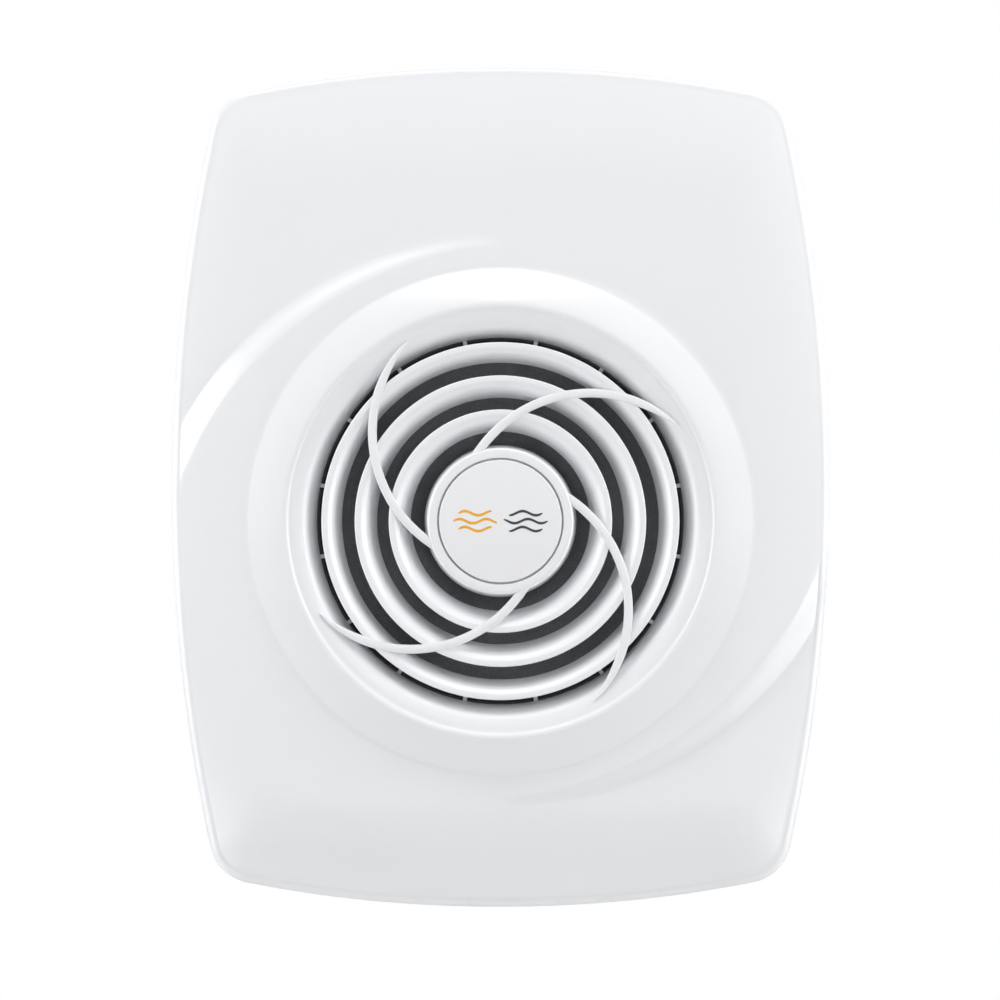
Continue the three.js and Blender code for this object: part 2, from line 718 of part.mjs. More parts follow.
function outerCowl() {
  const start = WALL_THICKNESS;
  const flange = box(-FLANGE_HALF, FLANGE_HALF, start, start + FLANGE_THICKNESS, -FLANGE_HALF, FLANGE_HALF);
  const hood = box(-HOOD_HALF, HOOD_HALF, start + 1, HOOD_BACK, -HOOD_HALF, HOOD_HALF);
  const inner = HOOD_HALF - 2.5;
  const face = HOOD_BACK - 6;
  const louvres = [-65, -48, -31, -14, 14, 31, 48, 65].map((z) => {
    const geometry = new THREE.BoxGeometry(136, 16, 8).rotateX(-0.6).translate(0, HOOD_BACK - 3, z);
    return solid(geometry);
  });
  const tools = [
    box(-inner, inner, start + FLANGE_THICKNESS, face, -inner, inner),
    bar(0, 0, DUCT_INNER, start - 1, start + 5, 36),
    ring(78.7, 84.3, start - 1, start + 1.7),
    box(-12, 12, start + 6, start + 18, -HOOD_HALF - 1, -inner + 1),
    ...louvres,
    ...COWL_SCREWS.map(([x, z]) => bar(x, z, 2.3, start - 1, start + 5, 8)),
  ];
  const divider = box(-inner - 0.5, inner + 0.5, start + FLANGE_THICKNESS, face - 8.6, -1.2, 1.2);
  return piece('outer_cowl', union([cut(union([flange, hood]), tools), divider]), MATT_WHITE);
}

function insectMesh() {
  const [y0, y1, half] = [MESH_FRONT, MESH_FRONT + 1.2, 77];
  const frame = box(-half, half, y0, y1, -half, half).subtract(
    box(-half + 4, half - 4, y0 - 1, y1 + 1, -half + 4, half - 4),
  );
  const bars = [-45, -15, 15, 45].flatMap((at) => [
    box(at - 0.7, at + 0.7, y0, y1, -half + 2, half - 2),
    box(-half + 2, half - 2, y0, y1, at - 0.7, at + 0.7),
  ]);
  return piece('insect_mesh', union([frame, ...bars]), STEEL);
}

function cowlGasket() {
  return piece('cowl_gasket', ring(79, 84, WALL_THICKNESS, WALL_THICKNESS + 1.4), RUBBER);
}

// ---- Control box ----
const BOARD_POSTS = [[-12, 92], [62, 92], [-12, 142], [62, 142]];
const LID_SCREWS = [[-64, 89.5], [-64, 144.5]];
const CLAMP_SCREWS = [[-57, 118], [-33, 118]];

function controlTray() {
  const { left, right, bottom, top } = CABLE_ENTRY;
  const [floor, back] = [-5.3, -3.3];
  const shell = cut(box(-TRAY_HALF, TRAY_HALF, TRAY_FRONT, back, TRAY_BOTTOM, TRAY_TOP), [
    box(-TRAY_HALF + 2, TRAY_HALF - 2, TRAY_FRONT - 1, floor, TRAY_BOTTOM + 2, TRAY_TOP - 2),
  ]);
  const posts = [
    ...BOARD_POSTS.map(([x, z]) => bar(x, z, 3, -8, floor + 1, 8)),
    ...LID_SCREWS.map(([x, z]) => bar(x, z, 3.4, TRAY_FRONT, floor + 1, 8)),
    ...CLAMP_SCREWS.map(([x, z]) => bar(x, z, 3.2, -8.2, floor + 1, 8)),
  ];
  const tools = [
    box(left, right, -10, 0, bottom, top),
    box(28, 36, -16, -9, TRAY_BOTTOM - 1, TRAY_BOTTOM + 3),
    ...LID_SCREWS.map(([x, z]) => bar(x, z, 1.7, TRAY_FRONT - 1, -10, 6)),
    ...CLAMP_SCREWS.map(([x, z]) => bar(x, z, 1.6, -9, -4.6, 6)),
  ];
  return piece('control_tray', cut(union([shell, ...posts]), tools), MATT_WHITE);
}

function controlBoard() {
  return piece('control_pcb', box(-16, 66, BOARD_FRONT + GAP, -8.3, 88, 146), BOARD_GREEN);
}

function terminalBlock() {
  const body = box(-62, -28, -17, -5.6, 126, 139);
  const wells = [-56.5, -49, -41.5, -34].flatMap((x) => [
    bar(x, 134.5, 2.2, -18, -10, 8),
    box(x - 2.4, x + 2.4, -13, -8, 125, 131),
  ]);
  return piece('terminal_block', cut(body, wells), TERMINAL_GREY);
}

function powerModule() {
  return piece('power_module', box(34, 60, -19, BOARD_FRONT, 108, 136), SLEEVE_BLACK);
}

function storageCapacitor() {
  return piece('storage_capacitor', bar(20, 130, 6, -20.5, BOARD_FRONT, 20), BLUE_PLASTIC);
}

function humiditySensor() {
  const body = box(50, 60, -14, BOARD_FRONT, 91, 99).subtract(bar(55, 95, 2, -15, -12.5, 8));
  return piece('humidity_sensor', body, MATT_WHITE);
}

function trimBase() {
  const half = 5.5;
  const body = box(TRIM_X - half, TRIM_X + half, -14, BOARD_FRONT, TRIM_Z - half, TRIM_Z + half);
  return piece('trim_base', body, BLUE_PLASTIC);
}

function trimDial() {
  const slot = box(TRIM_X - 3, TRIM_X + 3, -18, -16, TRIM_Z - 0.5, TRIM_Z + 0.5);
  return piece('trim_dial', bar(TRIM_X, TRIM_Z, 4, -17, -14.3, 16).subtract(slot), MATT_WHITE);
}

function controlLid() {
  const lid = box(-TRAY_HALF, TRAY_HALF, TRAY_FRONT - 2.4, TRAY_FRONT - GAP, TRAY_BOTTOM, TRAY_TOP);
  const tools = [
    bar(TRIM_X, TRIM_Z, 5.5, TRAY_FRONT - 5, TRAY_FRONT + 1, 16),
    ...LID_SCREWS.map(([x, z]) => bar(x, z, 1.9, TRAY_FRONT - 5, TRAY_FRONT + 1, 8)),
  ];
  return piece('control_lid', cut(lid, tools), MATT_WHITE);
}

function cableClamp() {
  const saddle = box(-61, -29, -11, -8.5, 114.5, 121.5);
  const hump = box(-51, -39, -13.5, -8.5, 114.5, 121.5);
  const hollow = uprightBar(-45, -8.5, 4, 110, 125);
  const holes = CLAMP_SCREWS.map(([x, z]) => bar(x, z, 1.6, -14, -7, 8));
  return piece('cable_clamp', cut(union([saddle, hump]), [hollow, ...holes]), DARK_PLASTIC);
}

// Short lead from the control box down into the fan housing's top.
function fanLead() {
  const route = new THREE.CatmullRomCurve3([
    new THREE.Vector3(32, -12.5, 87.5),
    new THREE.Vector3(32, -12.5, 80),
    new THREE.Vector3(31, -16, 76),
    new THREE.Vector3(30, -24, 75.5),
  ]);
  const section = new THREE.Shape().absarc(0, 0, 1.8, 0, 2 * Math.PI, false);
  const options = { steps: 14, bevelEnabled: false, extrudePath: route, curveSegments: 4 };
  return piece('fan_lead', solid(new THREE.ExtrudeGeometry(section, options)), SLEEVE_BLACK);
}

// ---- Screws ----
// Screw along Y. Its head sits on the seat, and dir is the way that its shank points.
function screw(name, [x, z], seat, dir, size) {
  const { head, shank, height, length } = size;
  const ends = (a, b) => [Math.min(a, b), Math.max(a, b)];
  const headBody = bar(x, z, head, ...ends(seat - dir * height, seat));
  const shankBody = bar(x, z, shank, ...ends(seat - dir * 0.5, seat + dir * length), 8);
  return piece(name, headBody.add(shankBody), STEEL);
}

function screwSet(name, places, seat, dir, size) {
  return places.map((place, i) => screw(`${name}_${i + 1}`, place, seat, dir, size));
}

const PLATE_SCREW = { head: 4.6, shank: 2.3, height: 2.4, length: 34 };
const COWL_SCREW_SIZE = { head: 4, shank: 1.9, height: 2.4, length: 30 };
const HOUSING_SCREW = { head: 4, shank: 1.9, height: 2.3, length: 9 };
const LID_SCREW = { head: 3, shank: 1.4, height: 1.8, length: 11 };
const CLAMP_SCREW = { head: 2.7, shank: 1.2, height: 1.8, length: 5.2 };

const unit = new THREE.Group();
unit.add(
  frontCover(),
  swirlGrille(),
  badgeDisc(),
  wallPlate(),
  ductCollar(),
  wallSeal(),
  wallDuct(),
  airGuide(),
  fanHousing(),
  inletRing(),
  filterFrame(),
  extractFilter(),
  extractMotor(),
  extractRotorCap(),
  extractImpeller(),
  exchangerCore(),
  coreCradle('core_cradle_top', 1),
  coreCradle('core_cradle_bottom', -1),
  frontDivider(),
  rearDivider(),
  rearBulkhead(),
  supplyFanFrame(),
  supplyImpeller(),
  intakeFilter(),
  dripTray(),
  exhaustFlap(),
  flapPin(),
  outerCowl(),
  insectMesh(),
  cowlGasket(),
  controlTray(),
  controlBoard(),
  terminalBlock(),
  powerModule(),
  storageCapacitor(),
  humiditySensor(),
  trimBase(),
  trimDial(),
  controlLid(),
  cableClamp(),
  fanLead(),
  ...screwSet('wall_screw', PLATE_SCREWS, -PLATE_THICKNESS - GAP, 1, PLATE_SCREW),
  ...screwSet('cowl_screw', COWL_SCREWS, WALL_THICKNESS + FLANGE_THICKNESS + GAP, -1, COWL_SCREW_SIZE),
  ...screwSet('housing_screw', EARS, HOUSING_BACK - HOUSING_WALL - GAP, 1, HOUSING_SCREW),
  ...screwSet('lid_screw', LID_SCREWS, TRAY_FRONT - 2.7, 1, LID_SCREW),
  ...screwSet('clamp_screw', CLAMP_SCREWS, -11.3, 1, CLAMP_SCREW),
);

export default unit;
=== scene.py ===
"""Looks of a through-wall heat recovery unit: room cover, fan section, wall duct and outdoor cowl.

Sizes in the classes are millimetres. Meshes are made in metres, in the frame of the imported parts:
the duct axis is Y, the room is at -Y, and Z is up.
"""

import logging
import math
from dataclasses import dataclass, field
from enum import Enum
from typing import Any, Iterable, Optional, Sequence

import bmesh
import bpy
import numpy as np
from mathutils import Matrix, Vector


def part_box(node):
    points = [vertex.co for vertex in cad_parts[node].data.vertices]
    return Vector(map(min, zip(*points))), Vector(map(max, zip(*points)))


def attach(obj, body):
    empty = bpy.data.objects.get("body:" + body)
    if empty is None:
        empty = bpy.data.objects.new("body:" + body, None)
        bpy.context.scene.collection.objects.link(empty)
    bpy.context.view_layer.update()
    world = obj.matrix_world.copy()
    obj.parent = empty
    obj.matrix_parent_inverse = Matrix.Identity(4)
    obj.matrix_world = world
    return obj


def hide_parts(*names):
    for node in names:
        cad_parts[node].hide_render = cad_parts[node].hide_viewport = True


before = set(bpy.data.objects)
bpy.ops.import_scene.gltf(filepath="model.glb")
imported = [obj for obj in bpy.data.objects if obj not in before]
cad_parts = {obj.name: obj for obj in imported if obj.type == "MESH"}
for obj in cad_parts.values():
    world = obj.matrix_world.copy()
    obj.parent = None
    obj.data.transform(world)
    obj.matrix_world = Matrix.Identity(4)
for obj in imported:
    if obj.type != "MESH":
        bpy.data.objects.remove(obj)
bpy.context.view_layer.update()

MM = 0.001
LOG = logging.getLogger("heat_recovery_unit")
Point = tuple[float, float]
Colour = tuple[float, float, float]


# ---------------------------------------------------------------------------------------------
# Shader graphs
# ---------------------------------------------------------------------------------------------
class Signal:
    """A shader socket that takes arithmetic. Each operator adds one Math node."""

    def __init__(self, graph: "Graph", socket: bpy.types.NodeSocket) -> None:
        """Wraps a socket.

        Args:
            graph: The graph that the socket belongs to.
            socket: The output socket.
        """
        self.graph = graph
        self.socket = socket

    def _math(self, operation: str, first: Any, second: Any) -> "Signal":
        """Adds a Math node.

        Args:
            operation: The Math node's operation.
            first: First value or signal.
            second: Second value or signal.

        Returns:
            The node's result.
        """
        return self.graph.node("ShaderNodeMath", {"operation": operation}, {0: first, 1: second})

    def __add__(self, other: Any) -> "Signal":
        """Sum with a number or signal."""
        return self._math("ADD", self, other)

    def __radd__(self, other: Any) -> "Signal":
        """Sum with a number on the left."""
        return self._math("ADD", other, self)

    def __sub__(self, other: Any) -> "Signal":
        """Difference from a number or signal."""
        return self._math("SUBTRACT", self, other)

    def __rsub__(self, other: Any) -> "Signal":
        """Difference with a number on the left."""
        return self._math("SUBTRACT", other, self)

    def __mul__(self, other: Any) -> "Signal":
        """Product with a number or signal."""
        return self._math("MULTIPLY", self, other)

    def __rmul__(self, other: Any) -> "Signal":
        """Product with a number on the left."""
        return self._math("MULTIPLY", other, self)

    def __pow__(self, other: Any) -> "Signal":
        """Power."""
        return self._math("POWER", self, other)

    def __gt__(self, other: Any) -> "Signal":
        """One where this is greater, and zero elsewhere."""
        return self._math("GREATER_THAN", self, other)

    def at_most(self, other: Any) -> "Signal":
        """The smaller of the two."""
        return self._math("MINIMUM", self, other)


class Graph:
    """Node tree of one material, with one method that makes every node."""

    def __init__(self, name: str) -> None:
        """Makes an empty material.

        Args:
            name: The material's name.
        """
        self.material = bpy.data.materials.new(name)
        self.material.use_nodes = True
        self.tree = self.material.node_tree
        self.tree.nodes.clear()
        self.output = self.tree.nodes.new("ShaderNodeOutputMaterial")

    def node(
        self,
        kind: str,
        settings: Optional[dict[str, Any]] = None,
        inputs: Optional[dict[Any, Any]] = None,
        output: Any = 0,
    ) -> Signal:
        """Adds a node.

        Args:
            kind: The node's type.
            settings: Properties, set before the inputs. "stops" fills a colour ramp.
            inputs: Values or signals by socket name or index.
            output: Which output to return, by name or index.

        Returns:
            The chosen output.
        """
        made = self.tree.nodes.new(kind)
        for name, value in (settings or {}).items():
            if name == "stops":
                self._fill_ramp(made.color_ramp, value)
            else:
                setattr(made, name, value)
        for key, value in (inputs or {}).items():
            if isinstance(value, Signal):
                self.tree.links.new(value.socket, made.inputs[key])
            else:
                made.inputs[key].default_value = value
        return Signal(self, made.outputs[output])

    @staticmethod
    def _fill_ramp(ramp: bpy.types.ColorRamp, stops: Sequence[tuple[float, Colour]]) -> None:
        """Sets a ramp's stops.

        Args:
            ramp: The ramp.
            stops: Position and colour of each stop, in order.
        """
        while len(ramp.elements) < len(stops):
            ramp.elements.new(1.0)
        for element, (position, colour) in zip(ramp.elements, stops):
            element.position = position
            element.color = (*colour, 1.0)

    def place(self, scale: Sequence[float] = (1, 1, 1), turn: Sequence[float] = (0, 0, 0)) -> Signal:
        """Object coordinates in metres, scaled and turned.

        Args:
            scale: Scale along each axis.
            turn: Rotation in radians.

        Returns:
            The coordinates.
        """
        objects = self.node("ShaderNodeTexCoord", output="Object")
        mapping = {"Vector": objects, "Scale": tuple(scale), "Rotation": tuple(turn)}
        return self.node("ShaderNodeMapping", None, mapping)

    def noise(self, scale: float, detail: float = 2.0, where: Optional[Signal] = None) -> Signal:
        """Noise from 0 to 1.

        Args:
            scale: Features per metre.
            detail: Octaves.
            where: Coordinates, or the object's own.

        Returns:
            The noise's value.
        """
        inputs = {"Vector": where or self.place(), "Scale": scale, "Detail": detail}
        return self.node("ShaderNodeTexNoise", {"normalize": True}, inputs, "Fac")

    def cells(self, scale: float, feature: str = "F1", where: Optional[Signal] = None) -> Signal:
        """Distance field of random cells.

        Args:
            scale: Cells per metre.
            feature: Voronoi feature.
            where: Coordinates, or the object's own.

        Returns:
            The distance.
        """
        inputs = {"Vector": where or self.place(), "Scale": scale}
        return self.node("ShaderNodeTexVoronoi", {"feature": feature}, inputs, "Distance")

    def blend(self, amount: Any, first: Any, second: Any) -> Signal:
        """Mixes two colours.

        Args:
            amount: Share of the second.
            first: Colour or signal.
            second: Colour or signal.

        Returns:
            The mixed colour.
        """
        inputs = {0: amount, 6: self._opaque(first), 7: self._opaque(second)}
        return self.node("ShaderNodeMix", {"data_type": "RGBA"}, inputs, 2)

    @staticmethod
    def _opaque(colour: Any) -> Any:
        """The colour with full alpha. A signal stays as it is."""
        return colour if isinstance(colour, Signal) else (*colour, 1.0)

    def relief(self, height: Signal, depth: float, strength: float = 1.0) -> Signal:
        """Bump normal.

        Args:
            height: Height from 0 to 1.
            depth: Depth in metres that 1 stands for.
            strength: Share of the bump.

        Returns:
            The normal.
        """
        inputs = {"Height": height, "Distance": depth, "Strength": strength}
        return self.node("ShaderNodeBump", None, inputs, "Normal")

    def finish(self, **sockets: Any) -> bpy.types.Material:
        """Adds the surface shader and ends the graph.

        Args:
            sockets: Values or signals, by the shader's socket names with _ for a space.

        Returns:
            The finished material.
        """
        inputs = {name.replace("_", " "): value for name, value in sockets.items()}
        shader = self.node("ShaderNodeBsdfPrincipled", None, inputs)
        self.tree.links.new(shader.socket, self.output.inputs["Surface"])
        return self.material


# ---------------------------------------------------------------------------------------------
# Finishes
# ---------------------------------------------------------------------------------------------
@dataclass(frozen=True)
class MouldedPlastic:
    """Injection-moulded plastic with a fine mould grain and faint flow shading."""

    name: str
    colour: Colour
    shade: Colour
    roughness: float = 0.45
    grain: float = 2600.0
    grain_depth: float = 0.00003
    coat: float = 0.0

    def build(self) -> bpy.types.Material:
        """Makes the material."""
        graph = Graph(self.name)
        flow = graph.noise(14.0, 3.0)
        grain = graph.noise(self.grain, 2.0)
        return graph.finish(
            Base_Color=graph.blend(flow, self.colour, self.shade),
            Roughness=self.roughness + 0.08 * (graph.noise(90.0, 3.0) - 0.5) + 0.05 * (grain - 0.5),
            Normal=graph.relief(grain, self.grain_depth),
            Coat_Weight=self.coat,
            Coat_Roughness=0.12,
        )


@dataclass(frozen=True)
class PolishedCover:
    """High-gloss white cover plastic: faint moulding ripple, fine dust and a hard clear skin."""

    name: str = "polished_cover"
    colour: Colour = (0.86, 0.868, 0.885)
    shade: Colour = (0.835, 0.845, 0.865)
    roughness: float = 0.33

    def build(self) -> bpy.types.Material:
        """Makes the material."""
        graph = Graph(self.name)
        flow = graph.noise(9.0, 2.0)
        ripple = graph.noise(420.0, 2.0)
        dust = graph.noise(2300.0, 1.0) > 0.72
        tone = graph.blend(flow, self.colour, self.shade)
        return graph.finish(
            Base_Color=graph.blend(dust * 0.05, tone, (0.6, 0.6, 0.62)),
            Roughness=self.roughness + 0.05 * (graph.noise(60.0, 3.0) - 0.5) + 0.1 * dust,
            Normal=graph.relief(ripple, 0.000004),
            Coat_Weight=0.25,
            Coat_Roughness=0.16,
        )


@dataclass(frozen=True)
class BeadFoam:
    """Moulded bead foam: packed round cells with dark joints."""

    name: str
    colour: Colour
    joint: Colour
    beads: float = 330.0

    def build(self) -> bpy.types.Material:
        """Makes the material."""
        graph = Graph(self.name)
        dome = graph.cells(self.beads)
        tint = graph.noise(180.0, 1.0)
        body = graph.blend(tint * 0.5, self.colour, self.joint)
        return graph.finish(
            Base_Color=graph.blend((dome * 1.1).at_most(1.0) ** 2.0, body, self.joint),
            Roughness=0.8 + 0.1 * tint,
            Normal=graph.relief(1.0 - dome, 0.0006, 0.7),
        )


@dataclass(frozen=True)
class OpenFoam:
    """Reticulated filter foam: thin struts round open pores, with painted shade as the pores' darker
    colour.
    """

    name: str
    strut: Colour
    pore_shade: Colour
    pores: float = 900.0

    def build(self) -> bpy.types.Material:
        """Makes the material."""
        graph = Graph(self.name)
        edges = graph.cells(self.pores, "DISTANCE_TO_EDGE")
        # hollow is 1 in the pores' middles; the pores take the darker colour there, painted shade for the
        # shade inside the open cells.
        hollow = (edges * 4.0).at_most(1.0)
        fibres = graph.noise(2500.0, 2.0)
        return graph.finish(
            Base_Color=graph.blend(hollow, self.strut, self.pore_shade),
            Roughness=0.86 + 0.1 * fibres,
            Normal=graph.relief(1.0 - hollow + 0.3 * fibres, 0.0007, 0.9),
        )


@dataclass(frozen=True)
class PlatedSteel:
    """Zinc-plated or brushed steel with drawn streaks and a slightly mottled sheen."""

    name: str
    colour: Colour
    shade: Colour
    roughness: float = 0.3
    streaks: Sequence[float] = (30.0, 900.0, 900.0)

    def build(self) -> bpy.types.Material:
        """Makes the material."""
        graph = Graph(self.name)
        streak = graph.noise(1.0, 3.0, graph.place(self.streaks))
        mottle = graph.noise(260.0, 2.0)
        return graph.finish(
            Base_Color=graph.blend(mottle, self.colour, self.shade),
            Metallic=0.97 - 0.05 * mottle,
            Roughness=self.roughness + 0.16 * (streak - 0.5),
            Normal=graph.relief(streak, 0.00002, 0.6),
        )


@dataclass(frozen=True)
class SoftRubber:
    """Closed-cell rubber with a dull skin and fine pits."""

    name: str = "soft_rubber"

    def build(self) -> bpy.types.Material:
        """Makes the material."""
        graph = Graph(self.name)
        pits = graph.noise(1500.0, 3.0)
        bloom = graph.noise(60.0, 3.0)
        return graph.finish(
            Base_Color=graph.blend(bloom, (0.018, 0.018, 0.02), (0.04, 0.04, 0.042)),
            Roughness=0.72 + 0.16 * pits,
            Normal=graph.relief(pits, 0.00012, 0.8),
        )


@dataclass(frozen=True)
class CircuitBoard:
    """Solder mask over copper: stepped tracks, a ground pour and plated dots."""

    name: str = "circuit_board"

    def build(self) -> bpy.types.Material:
        """Makes the material."""
        graph = Graph(self.name)
        lanes = graph.place((1.0, 1.0, 1.0), (math.radians(90), 0, 0))
        settings = {"offset": 0.5, "squash": 1.0}
        sizes = {
            "Vector": lanes, "Scale": 55.0, "Mortar Size": 0.03, "Mortar Smooth": 0.1,
            "Brick Width": 0.9, "Row Height": 0.13, "Color1": (0, 0, 0, 1), "Color2": (0, 0, 0, 1),
            "Mortar": (1, 1, 1, 1),
        }
        tracks = graph.node("ShaderNodeTexBrick", settings, sizes, "Fac")
        dots = 1.0 - (graph.cells(210.0) > 0.16)
        mask = graph.blend(tracks, (0.012, 0.105, 0.04), (0.03, 0.2, 0.08))
        return graph.finish(
            Base_Color=graph.blend(dots, mask, (0.55, 0.53, 0.42)),
            Metallic=0.75 * dots,
            Roughness=0.32 + 0.12 * graph.noise(700.0, 2.0),
            Normal=graph.relief(tracks * 0.7 + dots, 0.00005),
        )


@dataclass(frozen=True)
class PrintedInk:
    """Screen-printed ink with a slightly uneven lay."""

    name: str
    colour: Colour
    shade: Colour

    def build(self) -> bpy.types.Material:
        """Makes the material."""
        graph = Graph(self.name)
        lay = graph.noise(1800.0, 2.0)
        return graph.finish(
            Base_Color=graph.blend(lay, self.colour, self.shade),
            Roughness=0.36 + 0.1 * lay,
            Normal=graph.relief(lay, 0.000006),
        )


@dataclass(frozen=True)
class Backdrop:
    """Pale studio floor."""

    name: str = "studio_floor"

    def build(self) -> bpy.types.Material:
        """Makes the material."""
        graph = Graph(self.name)
        tone = graph.noise(3.0, 2.0)
        return graph.finish(
            Base_Color=graph.blend(tone, (0.82, 0.82, 0.82), (0.86, 0.86, 0.86)),
            Roughness=0.8,
        )


class Finish(Enum):
    """Every finish on the unit. A member's value describes the material."""

    COVER = PolishedCover()
    BADGE = MouldedPlastic(
        "badge_satin", (0.87, 0.872, 0.885), (0.84, 0.845, 0.86), 0.34, 3200.0, 0.00001
    )
    MATT_WHITE = MouldedPlastic("matt_white", (0.74, 0.75, 0.76), (0.69, 0.7, 0.72), 0.5)
    DUCT = MouldedPlastic("duct_pipe", (0.62, 0.625, 0.63), (0.56, 0.565, 0.575), 0.42, 1400.0)
    DARK = MouldedPlastic("dark_moulding", (0.028, 0.03, 0.034), (0.045, 0.047, 0.053), 0.48)
    BLACK = MouldedPlastic("black_gloss", (0.012, 0.012, 0.014), (0.024, 0.024, 0.028), 0.3)
    BLUE = MouldedPlastic("blue_sleeve", (0.025, 0.1, 0.32), (0.03, 0.13, 0.38), 0.33)
    TERMINAL = MouldedPlastic("terminal_grey", (0.3, 0.33, 0.36), (0.25, 0.28, 0.31), 0.46)
    CORE = MouldedPlastic("core_film", (0.55, 0.68, 0.76), (0.48, 0.62, 0.71), 0.24, 900.0)
    EPP = BeadFoam("bead_foam", (0.085, 0.092, 0.1), (0.03, 0.033, 0.037))
    # Extract filter pad: its dark charcoal colour is painted shade, standing in for the shaded depth behind
    # the grille's gaps.
    FILTER_PAINTED_SHADE = OpenFoam("charcoal_foam", (0.24, 0.245, 0.26), (0.17, 0.175, 0.19), 1500.0)
    FILTER_GREY = OpenFoam("grey_foam", (0.42, 0.44, 0.46), (0.16, 0.17, 0.18), 700.0)
    STEEL = PlatedSteel("plated_steel", (0.56, 0.57, 0.58), (0.47, 0.48, 0.5))
    SCREW = PlatedSteel("screw_steel", (0.6, 0.6, 0.58), (0.5, 0.5, 0.5), 0.26, (500.0, 60.0, 500.0))
    RUBBER = SoftRubber()
    BOARD = CircuitBoard()
    AMBER_INK = PrintedInk("amber_ink", (0.85, 0.42, 0.03), (0.8, 0.38, 0.02))
    DARK_INK = PrintedInk("dark_ink", (0.03, 0.032, 0.035), (0.045, 0.047, 0.05))
    FLOOR = Backdrop()


_made: dict[Finish, bpy.types.Material] = {}


def material(finish: Finish) -> bpy.types.Material:
    """The material of a finish, made once.

    Args:
        finish: The finish.

    Returns:
        Its material.
    """
    if finish not in _made:
        _made[finish] = finish.value.build()
    return _made[finish]


# ---------------------------------------------------------------------------------------------
# Solids
# ---------------------------------------------------------------------------------------------
class Solid:
    """Vertices in millimetres and faces of one or more closed shells."""

    def __init__(self, points: Iterable[Sequence[float]], faces: Iterable[Sequence[int]]) -> None:
        """Keeps the points and faces.

        Args:
            points: Vertex positions.
            faces: Vertex indices of each face.
        """
        self.points = [tuple(p) for p in points]
        self.faces = [tuple(f) for f in faces]

    def __add__(self, other: "Solid") -> "Solid":
        """Both solids' shells together."""
        return joined([self, other])

    def changed(self, change: Matrix) -> "Solid":
        """The solid moved by a matrix."""
        return Solid([change @ Vector(p) for p in self.points], self.faces)

    def moved(self, x: float = 0, y: float = 0, z: float = 0) -> "Solid":
        """The solid shifted."""
        return self.changed(Matrix.Translation((x, y, z)))

    def turned(self, angle: float, axis: str = "Y") -> "Solid":
        """The solid turned about an axis through the origin."""
        return self.changed(Matrix.Rotation(angle, 4, axis))

    def mesh(self, name: str) -> bpy.types.Mesh:
        """A mesh in metres with its faces pointing out.

        Args:
            name: The mesh's name.

        Returns:
            The mesh.
        """
        made = bpy.data.meshes.new(name)
        made.from_pydata([(x * MM, y * MM, z * MM) for x, y, z in self.points], [], self.faces)
        work = bmesh.new()
        work.from_mesh(made)
        bmesh.ops.remove_doubles(work, verts=work.verts, dist=1e-7)
        bmesh.ops.recalc_face_normals(work, faces=work.faces)
        work.to_mesh(made)
        work.free()
        return made


def joined(solids: Iterable[Solid]) -> Solid:
    """Puts the shells of several solids into one.

    Args:
        solids: The solids.

    Returns:
        One solid with every shell.
    """
    points: list[tuple[float, ...]] = []
    faces: list[tuple[int, ...]] = []
    for one in solids:
        faces += [tuple(i + len(points) for i in f) for f in one.faces]
        points += one.points
    return Solid(points, faces)


def arc(cx: float, cz: float, radius: float, start: float, end: float, steps: int) -> list[Point]:
    """Points along an arc, both ends included. Angles are in degrees."""
    turns = np.radians(np.linspace(start, end, steps + 1))
    return [(cx + radius * math.cos(t), cz + radius * math.sin(t)) for t in turns]


def lathe(section: Sequence[Point], steps: int = 160) -> Solid:
    """Solid of revolution about the Y axis.

    Args:
        section: Closed section as radius and y. Points at radius 0 become poles.
        steps: Divisions round the axis.

    Returns:
        The solid.
    """
    points: list[tuple[float, float, float]] = []
    rows: list[list[int]] = []
    for radius, y in section:
        if radius < 1e-6:
            rows.append([len(points)] * steps)
            points.append((0.0, y, 0.0))
            continue
        rows.append(list(range(len(points), len(points) + steps)))
        turns = [2 * math.pi * k / steps for k in range(steps)]
        points += [(radius * math.cos(t), y, radius * math.sin(t)) for t in turns]
    faces = []
    for here, there in zip(rows, rows[1:] + rows[:1]):
        for k in range(steps):
            n = (k + 1) % steps
            corners = list(dict.fromkeys((here[k], here[n], there[n], there[k])))
            if len(corners) > 2:
                faces.append(corners)
    return Solid(points, faces)


def rounded(corners: Sequence[tuple[float, float, float]], steps: int = 4) -> list[Point]:
    """Closed outline with its corners rounded.

    Args:
        corners: First and second coordinate and radius of each corner.
        steps: Divisions of each rounded corner.

    Returns:
        The outline's points.
    """
    made: list[Point] = []
    count = len(corners)
    for i, (a, b, radius) in enumerate(corners):
        here = Vector((a, b))
        back = Vector(corners[i - 1][:2]) - here
        ahead = Vector(corners[(i + 1) % count][:2]) - here
        if radius <= 0:
            made.append((a, b))
            continue
        half = back.angle(ahead) / 2
        reach = min(radius / math.tan(half), back.length * 0.49, ahead.length * 0.49)
        start, end = here + back.normalized() * reach, here + ahead.normalized() * reach
        for k in range(steps + 1):
            t = k / steps
            spot = start * (1 - t) ** 2 + here * 2 * t * (1 - t) + end * t**2
            made.append((spot.x, spot.y))
    return made


def turned_part(corners: Sequence[tuple[float, float, float]], steps: int = 160) -> Solid:
    """Solid of revolution whose section has rounded corners."""
    return lathe(rounded(corners), steps)


def tube(
    inner: float, outer: float, y0: float, y1: float, edge: float = 0.4, steps: int = 160
) -> Solid:
    """Round tube along Y with softened edges."""
    corners = [(inner, y0, edge), (outer, y0, edge), (outer, y1, edge), (inner, y1, edge)]
    return turned_part(corners, steps)


